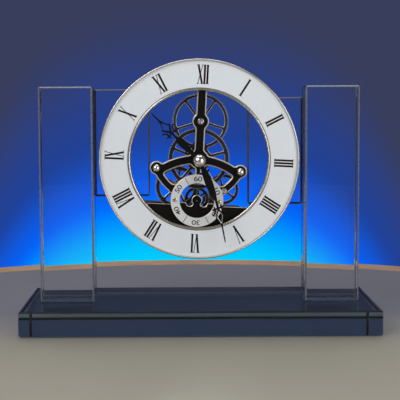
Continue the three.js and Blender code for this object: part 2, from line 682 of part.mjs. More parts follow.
// Carrier ring behind the dial, with seats for the top arm and the bottom plate
const armSeat = plate(
  rectangle(-TOP_ARM_WIDTH / 2 - RUNNING_GAP, TOP_ARM_WIDTH / 2 + RUNNING_GAP, HUB_RADIUS,
    BRIDGE_REACH + RUNNING_GAP),
  BRIDGE_REAR, BRIDGE_FRONT - 1,
);
const seatChord = Math.asin(
  (-BOTTOM_PLATE_EDGE_Z - RUNNING_GAP) / (BOTTOM_PLATE_RADIUS + RUNNING_GAP),
);
const plateSeat = plate(
  arc(0, 0, BOTTOM_PLATE_RADIUS + RUNNING_GAP, Math.PI + seatChord, 2 * Math.PI - seatChord, 24),
  PLATE_REAR, BRIDGE_FRONT - 1,
);
place(dial, 'dial_carrier', cut(
  ring(CARRIER_OUTER, CARRIER_INNER, WING_FRONT, CARRIER_FRONT), [armSeat, plateSeat],
), BLACK_PLASTIC);

place(dial, 'chapter_ring', ring(
  CARRIER_OUTER, CARRIER_INNER, CARRIER_FRONT, CHAPTER_FRONT,
), DIAL_WHITE);

// Bezels: the outer one hugs the carrier, the inner one lines the opening
const BEZEL_REAR = WING_FRONT - RUNNING_GAP;
place(dial, 'outer_bezel', turnedRing([
  [DIAL_RADIUS - BEZEL_WALL, BEZEL_REAR],
  [DIAL_RADIUS, BEZEL_REAR],
  [DIAL_RADIUS, CHAPTER_FRONT - BEZEL_RISE * 0.4],
  [DIAL_RADIUS - BEZEL_WALL * 0.5, CHAPTER_FRONT - BEZEL_RISE],
  [DIAL_RADIUS - BEZEL_WALL - BEZEL_OVERLAP, CHAPTER_FRONT],
  [DIAL_RADIUS - BEZEL_WALL, CHAPTER_FRONT],
]), CHAMPAGNE);
place(dial, 'inner_bezel', turnedRing([
  [OPENING_RADIUS, CARRIER_FRONT - GLUE_GAP],
  [OPENING_RADIUS + INNER_BEZEL_WALL, CARRIER_FRONT - GLUE_GAP],
  [OPENING_RADIUS + INNER_BEZEL_WALL, CHAPTER_FRONT],
  [CARRIER_INNER + INNER_BEZEL_LIP, CHAPTER_FRONT],
  [CARRIER_INNER, CHAPTER_FRONT - INNER_BEZEL_RISE],
  [OPENING_RADIUS, CHAPTER_FRONT - INNER_BEZEL_RISE * 0.7],
]), CHAMPAGNE);

// Rear bridge: a spine with the same curved arms, and arms down to the side wheels' pivots
function rearArm(side, axis) {
  return plate(ribbon([
    new THREE.Vector2(side * PILLAR_X, PILLAR_Z),
    new THREE.Vector2(side * (PILLAR_X - REAR_ARM_BEND_IN), PILLAR_Z - REAR_ARM_BEND_DROP),
    axis.clone(),
  ], REAR_ARM_WIDTH * 0.8), REAR_BRIDGE_REAR, REAR_BRIDGE_FRONT);
}
const rearBody = join([
  plate(rectangle(-SPINE_WIDTH / 2, SPINE_WIDTH / 2, SECONDS_AXIS_Z, TOP.y),
    REAR_BRIDGE_REAR, REAR_BRIDGE_FRONT),
  plate(curvedArm(REAR_ARM_WIDTH, 8), REAR_BRIDGE_REAR, REAR_BRIDGE_FRONT),
  rearArm(-1, THIRD),
  rearArm(1, RIGHT),
  ...[CENTRE, SECONDS, THIRD, RIGHT, TOP].map((axis) => disc(
    REAR_BOSS_RADIUS, REAR_BRIDGE_REAR, REAR_BRIDGE_FRONT, axis.x, axis.y, 14,
  )),
  disc(PILLAR_RADIUS + 1.4, REAR_BRIDGE_REAR, REAR_BRIDGE_FRONT, -PILLAR_X, PILLAR_Z),
  disc(PILLAR_RADIUS + 1.4, REAR_BRIDGE_REAR, REAR_BRIDGE_FRONT, PILLAR_X, PILLAR_Z),
]);
place(dial, 'rear_bridge', cut(rearBody, [
  ...[CENTRE, SECONDS, THIRD, RIGHT, TOP].map(pivotHole),
  drill(NUT_STEM_RADIUS + RUNNING_GAP, -PILLAR_X, PILLAR_Z, 10),
  drill(NUT_STEM_RADIUS + RUNNING_GAP, PILLAR_X, PILLAR_Z, 10),
]), BLACK_LACQUER);

// Pillars between the bridges, ball nuts in front and screws behind
const NUT_STEM_LENGTH = 4;
const NUT_COLLAR_RADIUS = 2;
const NUT_COLLAR_HEIGHT = 0.8;

// A ball on a round collar and a stem, with the collar's rear face at depth seat
function ballProfile(radius, collarRadius, collarHeight, stemRadius, stemLength, seat, steps = 7) {
  const drop = Math.sqrt(radius ** 2 - collarRadius ** 2);
  const middle = seat - collarHeight - drop;
  const start = Math.acos(drop / radius);
  const profile = stemLength > 0
    ? [[0, seat + stemLength], [stemRadius, seat + stemLength], [stemRadius, seat]]
    : [[0, seat]];
  profile.push([collarRadius, seat], [collarRadius, seat - collarHeight]);
  for (let k = 1; k < steps; k += 1) {
    const angle = start + ((Math.PI - start) * k) / steps;
    profile.push([radius * Math.sin(angle), middle + radius * Math.cos(angle)]);
  }
  profile.push([0, middle - radius]);
  return profile;
}

for (const [side, x] of [['left', -PILLAR_X], ['right', PILLAR_X]]) {
  const pillar = cut(disc(PILLAR_RADIUS, REAR_BRIDGE_FRONT, BRIDGE_REAR), [
    drill(NUT_STEM_RADIUS + RUNNING_GAP, 0, 0, 10),
  ]);
  place(dial, `${side}_pillar`, pillar, STEEL, x, PILLAR_Z);
  place(dial, `${side}_ball_nut`, turned(ballProfile(
    BALL_NUT_RADIUS, NUT_COLLAR_RADIUS, NUT_COLLAR_HEIGHT, NUT_STEM_RADIUS, NUT_STEM_LENGTH,
    BRIDGE_FRONT,
  ), 20), CHROME, x, PILLAR_Z);
  place(dial, `${side}_pillar_screw`, turned([
    [0, REAR_BRIDGE_REAR + 1.1], [2, REAR_BRIDGE_REAR + 1.1], [2, REAR_BRIDGE_REAR],
    [NUT_STEM_RADIUS, REAR_BRIDGE_REAR], [NUT_STEM_RADIUS, REAR_BRIDGE_FRONT - 3],
    [0, REAR_BRIDGE_FRONT - 3],
  ], 12), STEEL, x, PILLAR_Z);
}

// Seconds ring and its two brass screws
place(dial, 'seconds_ring', cut(
  ring(SECONDS_RING_OUTER, SECONDS_RING_INNER, BRIDGE_FRONT, RING_FRONT, 0, SECONDS_AXIS_Z, 48), [
    drill(RING_SCREW_SHANK_RADIUS + RUNNING_GAP, -RING_SCREW_X, SECONDS_AXIS_Z, 10),
    drill(RING_SCREW_SHANK_RADIUS + RUNNING_GAP, RING_SCREW_X, SECONDS_AXIS_Z, 10),
  ],
), BRUSHED_SILVER);
for (const [side, x] of [['left', -RING_SCREW_X], ['right', RING_SCREW_X]]) {
  place(dial, `${side}_ring_screw`, turned([
    [0, PLATE_REAR], [RING_SCREW_SHANK_RADIUS, PLATE_REAR],
    [RING_SCREW_SHANK_RADIUS, RING_FRONT], [RING_SCREW_HEAD_RADIUS, RING_FRONT],
    [RING_SCREW_HEAD_RADIUS, RING_FRONT - 0.3], [RING_SCREW_HEAD_RADIUS * 0.7, RING_FRONT - 0.7],
    [0, RING_FRONT - 0.85],
  ], 14), BRASS, x, SECONDS_AXIS_Z);
}

// Hands: a leaf body, a pair of curls on a crossbar, an open diamond and a fine tip
function handBody(length, sizes, rear, front, bore) {
  const { eye, bar, belly, bellyAt, neckAt, neck, curlSpan, diamond, diamondAt, width } = sizes;
  const mirror = (points) => points.map((p) => new THREE.Vector2(-p.x, p.y)).reverse();
  const flat = (points) => plate(points, rear, front);
  const halfBody = outline([
    [1.5, 0], [1.6, bar - 0.8], [4, bar - 0.6], [4, bar + 0.6], [1.5, bar + 0.9],
    [belly / 2 * 0.92, bellyAt - 2.5], [belly / 2, bellyAt], [belly / 2 * 0.86, bellyAt + 4],
    [neck / 2, neckAt], [neck / 2, diamondAt + HAND_BAR / 2],
  ]);
  const body = halfBody.concat(mirror(halfBody));
  const outerDiamond = outline([
    [0.5, diamondAt], [width / 2 * 0.42, diamondAt + diamond * 0.3],
    [width / 2, diamondAt + diamond * 0.47], [width / 2 * 0.5, diamondAt + diamond * 0.68],
    [0.55, diamondAt + diamond],
  ]);
  const innerDiamond = outline([
    [0, diamondAt + HAND_BAR * 1.6], [width / 2 * 0.3, diamondAt + diamond * 0.36],
    [width / 2 - HAND_BAR * 1.15, diamondAt + diamond * 0.47],
    [width / 2 * 0.3, diamondAt + diamond * 0.64], [0, diamondAt + diamond - HAND_BAR * 1.8],
  ]);
  const tip = outline([
    [0.6, diamondAt + diamond - 0.8], [0.45, length - 2], [0, length], [-0.45, length - 2],
    [-0.6, diamondAt + diamond - 0.8],
  ]);
  const curl = (side) => {
    const node = new THREE.Vector2(side * curlSpan * 0.42, neckAt + 0.9);
    const sweep = arc(
      side * curlSpan * 0.78, neckAt - 0.6, curlSpan * 0.4,
      side > 0 ? radians(165) : radians(15), side > 0 ? radians(40) : radians(140), 5,
    );
    return [
      flat(ribbon([new THREE.Vector2(0, neckAt + 1.6), node], HAND_BAR)),
      flat(ribbon(sweep, HAND_BAR * 0.9)),
      flat(ribbon([node, node.clone().add(new THREE.Vector2(side * 0.2, -2.6))], HAND_BAR)),
      flat(ribbon([
        node.clone().add(new THREE.Vector2(0, -0.2)),
        node.clone().add(new THREE.Vector2(side * 1.9, -1.9)),
      ], HAND_BAR)),
    ];
  };
  const diamondFrame = cut(flat(outerDiamond.concat(mirror(outerDiamond))), [
    plate(innerDiamond.concat(mirror(innerDiamond.slice(1, -1))), rear + 1, front - 1),
  ]);
  return cut(join([
    disc(eye, rear, front, 0, 0, 20), flat(body), diamondFrame, flat(tip),
    ...curl(-1), ...curl(1),
  ]), [disc(bore, rear + 1, front - 1)]);
}

const hourHand = handBody(HOUR_HAND_LENGTH, {
  eye: 4.6, bar: 10.8, belly: 5.2, bellyAt: 17.5, neckAt: 26.4, neck: 1.6, curlSpan: 7.4,
  diamond: 13.2, diamondAt: 28.4, width: 8.7,
}, HOUR_HAND_REAR, HOUR_HAND_FRONT, HOUR_SEAT_RADIUS + SEAT_GAP);
place(dial, 'hour_hand', hourHand, BLACK_LACQUER, 0, 0, HOUR_HAND_ANGLE);

const minuteHand = handBody(MINUTE_HAND_LENGTH, {
  eye: 3.6, bar: 9.6, belly: 5.4, bellyAt: 17, neckAt: 34.9, neck: 1.5, curlSpan: 7.2,
  diamond: 12, diamondAt: 37.4, width: 6.4,
}, MINUTE_HAND_REAR, MINUTE_HAND_FRONT, CENTRE_TIP_RADIUS + RUNNING_GAP);
// Its outer part was bent a little clockwise, in its own plane, when it was set
const bentMinuteHand = minuteHand.warp((corner) => {
  const past = Math.max(corner[2] - MINUTE_BEND_FROM, 0);
  corner[0] += MINUTE_BEND_SLOPE * past + MINUTE_BEND_GROWTH * past ** 2;
});
place(dial, 'minute_hand', bentMinuteHand, BLACK_LACQUER, 0, 0, MINUTE_HAND_ANGLE);

place(dial, 'hand_cap', turned(ballProfile(
  CAP_RADIUS, CAP_COLLAR_RADIUS, CAP_COLLAR_HEIGHT, 0, 0, MINUTE_HAND_FRONT, 9,
), 24), CHROME);

// Motion work: cannon pinion, motion wheel and hour wheel give one turn in twelve
const cannonPhase = radians(90);
const motionPhase = meshPhase(cannonPhase, CANNON_TEETH, radians(90), MOTION_WHEEL_TEETH);
const motionPinionPhase = radians(-90);
const hourPhase = meshPhase(motionPinionPhase, MOTION_PINION_TEETH, radians(-90), HOUR_TEETH);
place(dial, 'hour_wheel', cut(join([
  pinion(HOUR_TEETH, MOTION_MODULE, hourPhase, HOUR_WHEEL_REAR, HOUR_WHEEL_FRONT),
  disc(HOUR_PIPE_RADIUS, HOUR_WHEEL_REAR, HOUR_HAND_REAR),
  disc(HOUR_SEAT_RADIUS, HOUR_HAND_REAR, HOUR_HAND_FRONT),
]), [drill(HOUR_PIPE_BORE, 0, 0)]), BRASS);
place(dial, 'cannon_pinion', cut(join([
  pinion(CANNON_TEETH, MOTION_MODULE, cannonPhase, CANNON_REAR, CANNON_FRONT),
  disc(CANNON_RADIUS, CANNON_REAR, MINUTE_HAND_REAR, 0, 0, 14),
]), [drill(CANNON_BORE, 0, 0, 14)]), STEEL);
place(dial, 'motion_wheel', cut(join([
  pinion(MOTION_WHEEL_TEETH, MOTION_MODULE, motionPhase, CANNON_REAR, CANNON_FRONT),
  pinion(MOTION_PINION_TEETH, MOTION_MODULE, motionPinionPhase, CANNON_FRONT, HOUR_WHEEL_FRONT),
]), [drill(MOTION_POST_RADIUS + PIVOT_GAP, 0, 0, 12)]), BRASS, MOTION.x, MOTION.y);

// Centre arbor with its wheel, and the setting knob behind
const pinionDepth = (layer) => [layer + WHEEL_THICKNESS + 0.2, layer - 0.2];
place(dial, 'centre_arbor', turned([
  [0, MINUTE_HAND_FRONT], [CENTRE_TIP_RADIUS, MINUTE_HAND_FRONT],
  [CENTRE_TIP_RADIUS, CANNON_REAR], [ARBOR_RADIUS, CANNON_REAR],
  [ARBOR_RADIUS, LAYER_ONE + WHEEL_THICKNESS], [COLLAR_RADIUS, LAYER_ONE + WHEEL_THICKNESS],
  [COLLAR_RADIUS, LAYER_TWO], [ARBOR_RADIUS, LAYER_TWO],
  [ARBOR_RADIUS, REAR_BRIDGE_FRONT - RUNNING_GAP],
  [PIVOT_RADIUS, REAR_BRIDGE_FRONT - RUNNING_GAP],
  [PIVOT_RADIUS, REAR_BRIDGE_REAR + RUNNING_GAP], [0, REAR_BRIDGE_REAR + RUNNING_GAP],
], 12), STEEL);
const centrePhase = radians(90);
place(dial, 'centre_wheel', spokedWheel(
  CENTRE_TEETH, CENTRE_MODULE, centrePhase, LAYER_ONE, 2.7, 9.4, 2.2, 16.6,
), DARK_WHEEL);
const flute = (k) => drill(0.8, KNOB_RADIUS * Math.cos(k), KNOB_RADIUS * Math.sin(k), 6);
const knobAngles = [...Array(KNOB_FLUTES).keys()].map((k) => (k * 2 * Math.PI) / KNOB_FLUTES);
place(dial, 'setting_knob', cut(
  disc(KNOB_RADIUS, REAR_BRIDGE_REAR + RUNNING_GAP + KNOB_DEPTH, REAR_BRIDGE_REAR + RUNNING_GAP,
    0, 0, 32),
  knobAngles.map(flute),
), BLACK_PLASTIC);

// An arbor with a pinion and a collar that its wheel is seated against
function pinionArbor({ teeth, module, phase, pinionLayer, collarFrom, collarTo, front, rear }) {
  const shaft = turned([
    [0, front], [PIVOT_RADIUS, front], [PIVOT_RADIUS, BRIDGE_REAR + RUNNING_GAP],
    [ARBOR_RADIUS, BRIDGE_REAR + RUNNING_GAP], [ARBOR_RADIUS, collarFrom],
    [COLLAR_RADIUS, collarFrom], [COLLAR_RADIUS, collarTo], [ARBOR_RADIUS, collarTo],
    [ARBOR_RADIUS, REAR_BRIDGE_FRONT - RUNNING_GAP],
    [PIVOT_RADIUS, REAR_BRIDGE_FRONT - RUNNING_GAP], [PIVOT_RADIUS, rear], [0, rear],
  ], 12);
  if (teeth === 0) return shaft;
  const [pinionRear, pinionFront] = pinionDepth(pinionLayer);
  return shaft.add(pinion(teeth, module, phase, pinionRear, pinionFront));
}

// Third wheel, at the lower left
const thirdAngle = angleFrom(CENTRE, THIRD);
const thirdPinionPhase = meshPhase(centrePhase, CENTRE_TEETH, thirdAngle, THIRD_PINION_TEETH);
place(dial, 'third_arbor', pinionArbor({
  teeth: THIRD_PINION_TEETH,
  module: CENTRE_MODULE,
  phase: thirdPinionPhase,
  pinionLayer: LAYER_ONE,
  collarFrom: LAYER_ONE + WHEEL_THICKNESS,
  collarTo: LAYER_TWO,
  front: BRIDGE_FRONT + RUNNING_GAP,
  rear: REAR_BRIDGE_REAR,
}), STEEL, THIRD.x, THIRD.y);
const thirdToSeconds = angleFrom(THIRD, SECONDS);
const thirdPhase = thirdToSeconds;
place(dial, 'third_wheel', spokedWheel(
  THIRD_TEETH, THIRD_MODULE, thirdPhase, LAYER_TWO, 3, 4.6, 2, 226.6,
), DARK_WHEEL, THIRD.x, THIRD.y);

// Seconds wheel, arbor and hand
const secondsPinionPhase = meshPhase(
  thirdPhase, THIRD_TEETH, thirdToSeconds, SECONDS_PINION_TEETH,
);
const secondsArbor = join([
  turned([
    [0, SECONDS_HAND_REAR - HAND_THICKNESS], [SECONDS_SEAT_RADIUS, SECONDS_HAND_REAR - HAND_THICKNESS],
    [SECONDS_SEAT_RADIUS, SECONDS_HAND_REAR], [PIVOT_RADIUS, SECONDS_HAND_REAR],
    [PIVOT_RADIUS, PLATE_REAR + RUNNING_GAP], [0.75, PLATE_REAR + RUNNING_GAP],
    [0.75, LAYER_TWO + WHEEL_THICKNESS + 0.2], [COLLAR_RADIUS, LAYER_TWO + WHEEL_THICKNESS + 0.2],
    [COLLAR_RADIUS, LAYER_THREE], [ARBOR_RADIUS, LAYER_THREE],
    [ARBOR_RADIUS, REAR_BRIDGE_FRONT - RUNNING_GAP],
    [PIVOT_RADIUS, REAR_BRIDGE_FRONT - RUNNING_GAP],
    [PIVOT_RADIUS, REAR_BRIDGE_REAR], [0, REAR_BRIDGE_REAR],
  ], 12),
  pinion(SECONDS_PINION_TEETH, THIRD_MODULE, secondsPinionPhase, ...pinionDepth(LAYER_TWO)),
]);
place(dial, 'seconds_arbor', secondsArbor, STEEL, SECONDS.x, SECONDS.y);
const secondsPhase = radians(30);
place(dial, 'seconds_wheel', spokedWheel(
  SECONDS_TEETH, SECONDS_MODULE, secondsPhase, LAYER_THREE, 2.3, 3.4, 1.8, 182.6,
), DARK_WHEEL, SECONDS.x, SECONDS.y);
place(dial, 'seconds_hand', cut(join([
  disc(1.9, SECONDS_HAND_REAR, SECONDS_HAND_REAR - SECONDS_HAND_THICKNESS),
  plate(outline([
    [-0.35, -4], [0.35, -4], [0.5, 0], [0.22, SECONDS_HAND_LENGTH], [-0.22, SECONDS_HAND_LENGTH],
    [-0.5, 0],
  ]), SECONDS_HAND_REAR, SECONDS_HAND_REAR - SECONDS_HAND_THICKNESS),
]), [drill(SECONDS_SEAT_RADIUS + PIVOT_GAP / 2, 0, 0, 12)]),
BLACK_LACQUER, SECONDS.x, SECONDS.y, SECONDS_HAND_ANGLE);

// Top wheel, behind the centre wheel
const topPinionPhase = meshPhase(centrePhase, CENTRE_TEETH, radians(90), TOP_PINION_TEETH);
place(dial, 'top_arbor', pinionArbor({
  teeth: TOP_PINION_TEETH,
  module: CENTRE_MODULE,
  phase: topPinionPhase,
  pinionLayer: LAYER_ONE,
  collarFrom: LAYER_ONE + WHEEL_THICKNESS,
  collarTo: LAYER_TWO,
  front: BRIDGE_FRONT - BUSH_FLANGE_RISE,
  rear: REAR_BRIDGE_REAR,
}), STEEL, TOP.x, TOP.y);
place(dial, 'top_wheel', spokedWheel(
  TOP_TEETH, TOP_MODULE, 0, LAYER_TWO, 2.4, 4.4, 1.9, 57,
), DARK_WHEEL, TOP.x, TOP.y);

// Right wheel, driven by the seconds wheel
const rightAngle = angleFrom(SECONDS, RIGHT);
const rightPhase = meshPhase(secondsPhase, SECONDS_TEETH, rightAngle, RIGHT_TEETH);
place(dial, 'right_arbor', pinionArbor({
  teeth: 0,
  collarFrom: LAYER_TWO,
  collarTo: LAYER_THREE,
  front: BRIDGE_FRONT - BUSH_FLANGE_RISE,
  rear: REAR_BRIDGE_REAR,
}), STEEL, RIGHT.x, RIGHT.y);
place(dial, 'right_wheel', spokedWheel(
  RIGHT_TEETH, SECONDS_MODULE, rightPhase, LAYER_THREE, 2.3, 3.6, 1.8, 325,
), DARK_WHEEL, RIGHT.x, RIGHT.y);

// Motor: a case with a cover, and in it the rotor, stator, coil and board
const motorOutline = (inset) => outline([
  [MOTOR_LEFT + inset, MOTOR_TOP - inset],
  [MOTOR_LEFT + inset, MOTOR_BOTTOM + inset],
  [MOTOR_RIGHT - inset, MOTOR_BOTTOM + inset],
  [MOTOR_RIGHT - inset, MOTOR_STEP_Z - inset],
  [MOTOR_SHOULDER - inset, MOTOR_STEP_Z - inset],
  [MOTOR_SHOULDER - inset, MOTOR_TOP - inset],
]);
const MOTOR_FLOOR = MOTOR_FRONT + MOTOR_WALL;
place(dial, 'motor_case', cut(plate(motorOutline(0), MOTOR_REAR, MOTOR_FRONT), [
  plate(motorOutline(MOTOR_WALL), MOTOR_REAR + 1, MOTOR_FLOOR),
  drill(1, DRIVE.x, DRIVE.y, 16),
]), BLACK_PLASTIC);
place(dial, 'motor_cover', cut(
  plate(motorOutline(0), MOTOR_REAR + MOTOR_WALL, MOTOR_REAR), [
    pivotHole(DRIVE), pivotHole(ROTOR),
  ],
), BLACK_PLASTIC);

// Intermediate wheel: a drive pinion out in front, a fine wheel inside the case
const WHEEL_IN_CASE = MOTOR_FLOOR + 1.2;
const driveAngle = radians(DRIVE_ANGLE);
const drivePhase = meshPhase(secondsPhase, SECONDS_TEETH, driveAngle, DRIVE_PINION_TEETH);
const rotorAngle = radians(ROTOR_ANGLE);
place(dial, 'intermediate_wheel', join([
  turned([
    [0, BRIDGE_REAR + 0.4], [PIVOT_RADIUS, BRIDGE_REAR + 0.4],
    [PIVOT_RADIUS, MOTOR_REAR + MOTOR_WALL - 0.2], [0, MOTOR_REAR + MOTOR_WALL - 0.2],
  ], 12),
  pinion(DRIVE_PINION_TEETH, SECONDS_MODULE, drivePhase, ...pinionDepth(LAYER_THREE)),
  pinion(INTERMEDIATE_TEETH, ROTOR_MODULE, rotorAngle, WHEEL_IN_CASE + 0.8, WHEEL_IN_CASE),
]), BRASS, DRIVE.x, DRIVE.y);

const rotorPinionPhase = meshPhase(
  rotorAngle, INTERMEDIATE_TEETH, rotorAngle, ROTOR_PINION_TEETH,
);
const STATOR_FRONT = WHEEL_IN_CASE + 2.1;
const STATOR_REAR = STATOR_FRONT + STATOR_THICKNESS;
const STATOR_MIDDLE = (STATOR_FRONT + STATOR_REAR) / 2;
place(dial, 'rotor', join([
  turned([
    [0, MOTOR_FLOOR + RUNNING_GAP], [ROTOR_SHAFT_RADIUS, MOTOR_FLOOR + RUNNING_GAP],
    [ROTOR_SHAFT_RADIUS, STATOR_MIDDLE - MAGNET_LENGTH / 2],
    [MAGNET_RADIUS, STATOR_MIDDLE - MAGNET_LENGTH / 2],
    [MAGNET_RADIUS, STATOR_MIDDLE + MAGNET_LENGTH / 2],
    [ROTOR_SHAFT_RADIUS, STATOR_MIDDLE + MAGNET_LENGTH / 2],
    [ROTOR_SHAFT_RADIUS, MOTOR_REAR + MOTOR_WALL - 0.2], [0, MOTOR_REAR + MOTOR_WALL - 0.2],
  ], 16),
  pinion(ROTOR_PINION_TEETH, ROTOR_MODULE, rotorPinionPhase, WHEEL_IN_CASE + 1,
    WHEEL_IN_CASE - 0.2),
]), STEEL, ROTOR.x, ROTOR.y);

const STATOR_RIGHT = MOTOR_RIGHT - MOTOR_WALL - 1.8;
const STATOR_LOW = MOTOR_BOTTOM + MOTOR_WALL + 2.4;
const STATOR_LEFT = MOTOR_LEFT + MOTOR_WALL + 1.8;
const STATOR_HOLE = MAGNET_RADIUS + STATOR_HOLE_GAP;
const bar = (left, right, low, high) => plate(
  rectangle(left, right, low, high), STATOR_REAR, STATOR_FRONT,
);
const statorTop = ROTOR.y + STATOR_BAR / 2 - 1;
place(dial, 'stator', cut(join([
  disc(STATOR_HOLE + STATOR_POLE, STATOR_REAR, STATOR_FRONT, ROTOR.x, ROTOR.y, 20),
  bar(ROTOR.x, STATOR_RIGHT, statorTop - STATOR_BAR, statorTop),
  bar(STATOR_RIGHT - STATOR_BAR, STATOR_RIGHT, STATOR_LOW, statorTop),
  bar(STATOR_LEFT, STATOR_RIGHT, STATOR_LOW, STATOR_LOW + STATOR_BAR),
  bar(STATOR_LEFT, STATOR_LEFT + STATOR_BAR, STATOR_LOW, ROTOR.y),
]), [drill(STATOR_HOLE, ROTOR.x, ROTOR.y, 20)]), STEEL);

// Coil on the stator's lower bar: a bobbin with flanges and its winding as one body
const coilMiddleX = (STATOR_LEFT + STATOR_RIGHT) / 2;
const coilZ = STATOR_LOW + STATOR_BAR / 2;
const coilSteps = [
  [0, -COIL_LENGTH / 2], [COIL_RADIUS, -COIL_LENGTH / 2], [COIL_RADIUS, 0.8 - COIL_LENGTH / 2],
  [COIL_RADIUS - 0.6, 0.8 - COIL_LENGTH / 2], [COIL_RADIUS - 0.6, COIL_LENGTH / 2 - 0.8],
  [COIL_RADIUS, COIL_LENGTH / 2 - 0.8], [COIL_RADIUS, COIL_LENGTH / 2], [0, COIL_LENGTH / 2],
];
place(dial, 'coil', cut(
  turned(coilSteps, 18).rotate([0, 0, 90]).translate([coilMiddleX, STATOR_MIDDLE, coilZ]),
  [boxSolid(
    [coilMiddleX - COIL_LENGTH, STATOR_FRONT - RUNNING_GAP, STATOR_LOW - RUNNING_GAP],
    [coilMiddleX + COIL_LENGTH, STATOR_REAR + RUNNING_GAP, STATOR_LOW + STATOR_BAR + RUNNING_GAP],
  )],
), COPPER);

// Circuit board across the stator's bars, with the quartz can on it
const boardLow = coilZ + COIL_RADIUS + 0.4;
const boardTop = ROTOR.y - MAGNET_RADIUS - 0.7;
place(dial, 'circuit_board', plate(
  rectangle(STATOR_LEFT + 0.3, STATOR_RIGHT - 0.3, boardLow, boardTop),
  STATOR_REAR + BOARD_THICKNESS, STATOR_REAR,
), BOARD_GREEN);
const can = new THREE.CylinderGeometry(CAN_RADIUS, CAN_RADIUS, CAN_LENGTH, 12);
can.rotateZ(Math.PI / 2);
can.translate(
  coilMiddleX, STATOR_REAR + BOARD_THICKNESS + CAN_RADIUS + GLUE_GAP, (boardLow + boardTop) / 2,
);
place(dial, 'quartz_can', solidOf(can), STEEL);

// Battery tray, open at the back, with the cell, its contacts and a sliding cover
const trayInnerLength = CELL_LENGTH + SPRING_LENGTH + 2 * CONTACT_THICKNESS + 3 * CELL_PLAY + 0.2;
const TRAY_LEFT = TRAY_RIGHT - trayInnerLength - 2 * TRAY_WALL;
const TRAY_BOTTOM = TRAY_TOP - 2 * (CELL_RADIUS + CELL_PLAY + TRAY_WALL);
const TRAY_FLOOR = MOTOR_FRONT + TRAY_WALL;
const TRAY_RIM = TRAY_FLOOR + 2 * (CELL_RADIUS + CELL_PLAY);
const cellZ = (TRAY_TOP + TRAY_BOTTOM) / 2;
const cellY = TRAY_FLOOR + CELL_PLAY + CELL_RADIUS;
const trayOutline = [
  new THREE.Vector2(TRAY_RIGHT, TRAY_BOTTOM),
  new THREE.Vector2(TRAY_RIGHT, TRAY_TOP),
  new THREE.Vector2(TRAY_LEFT, TRAY_TOP),
  ...arc(TRAY_LEFT + TRAY_CORNER, TRAY_BOTTOM + TRAY_CORNER, TRAY_CORNER,
    Math.PI, 1.5 * Math.PI, 6),
];
const trayHollow = boxSolid(
  [TRAY_LEFT + TRAY_WALL, TRAY_FLOOR, TRAY_BOTTOM + TRAY_WALL],
  [TRAY_RIGHT - TRAY_WALL, TRAY_RIM + 1, TRAY_TOP - TRAY_WALL],
);
place(dial, 'battery_tray', cut(plate(trayOutline, TRAY_RIM, MOTOR_FRONT), [trayHollow]),
  BLACK_PLASTIC);

const cellRight = TRAY_RIGHT - TRAY_WALL - GLUE_GAP - CONTACT_THICKNESS - CELL_PLAY;
const cellLeft = cellRight - CELL_LENGTH;
const cellProfile = [
  [0, cellLeft], [CELL_RADIUS - 0.6, cellLeft], [CELL_RADIUS, cellLeft + 0.6],
  [CELL_RADIUS, cellRight - CELL_NUB_LENGTH - 0.6],
  [CELL_RADIUS - 0.6, cellRight - CELL_NUB_LENGTH],
  [CELL_NUB_RADIUS, cellRight - CELL_NUB_LENGTH], [CELL_NUB_RADIUS, cellRight], [0, cellRight],
];
place(dial, 'battery_cell',
  turned(cellProfile, 24).rotate([0, 0, -90]).translate([0, cellY, cellZ]), CELL_WRAP);

const contactLeft = TRAY_LEFT + TRAY_WALL + GLUE_GAP;
const springCone = turned([
  [0, contactLeft + CONTACT_THICKNESS - 0.1], [4.4, contactLeft + CONTACT_THICKNESS - 0.1],
  [2.4, cellLeft - CELL_PLAY], [0, cellLeft - CELL_PLAY],
], 20).rotate([0, 0, -90]).translate([0, cellY, cellZ]);
place(dial, 'spring_contact', boxSolid(
  [contactLeft, cellY - 5, cellZ - 5],
  [contactLeft + CONTACT_THICKNESS, cellY + 5, cellZ + 5],
).add(springCone), STEEL);
place(dial, 'plate_contact', boxSolid(
  [TRAY_RIGHT - TRAY_WALL - GLUE_GAP - CONTACT_THICKNESS, cellY - 4, cellZ - 4],
  [TRAY_RIGHT - TRAY_WALL - GLUE_GAP, cellY + 4, cellZ + 4],
), STEEL);

// The cover lies on the tray's rim, and its flanges guide it along the tray
const coverSection = outline([
  [TRAY_RIM - COVER_FLANGE, TRAY_TOP + RUNNING_GAP],
  [TRAY_RIM, TRAY_TOP + RUNNING_GAP],
  [TRAY_RIM, TRAY_BOTTOM - RUNNING_GAP],
  [TRAY_RIM - COVER_FLANGE, TRAY_BOTTOM - RUNNING_GAP],
  [TRAY_RIM - COVER_FLANGE, TRAY_BOTTOM - RUNNING_GAP - COVER_THICKNESS],
  [TRAY_RIM + COVER_THICKNESS, TRAY_BOTTOM - RUNNING_GAP - COVER_THICKNESS],
  [TRAY_RIM + COVER_THICKNESS, TRAY_TOP + RUNNING_GAP + COVER_THICKNESS],
  [TRAY_RIM - COVER_FLANGE, TRAY_TOP + RUNNING_GAP + COVER_THICKNESS],
]);
const coverLeft = TRAY_LEFT + TRAY_CORNER;
const coverGeometry = new THREE.ExtrudeGeometry(new THREE.Shape(coverSection), {
  depth: TRAY_RIGHT - coverLeft,
  bevelEnabled: false,
  steps: 1,
});
// section x is depth and section y is height: turn it so that it runs along the tray
coverGeometry.applyMatrix4(new THREE.Matrix4().set(
  0, 0, 1, coverLeft,
  1, 0, 0, 0,
  0, 1, 0, 0,
  0, 0, 0, 1,
));
place(dial, 'battery_cover', solidOf(coverGeometry), BLACK_PLASTIC);

clock.updateMatrixWorld(true);

export default clock;
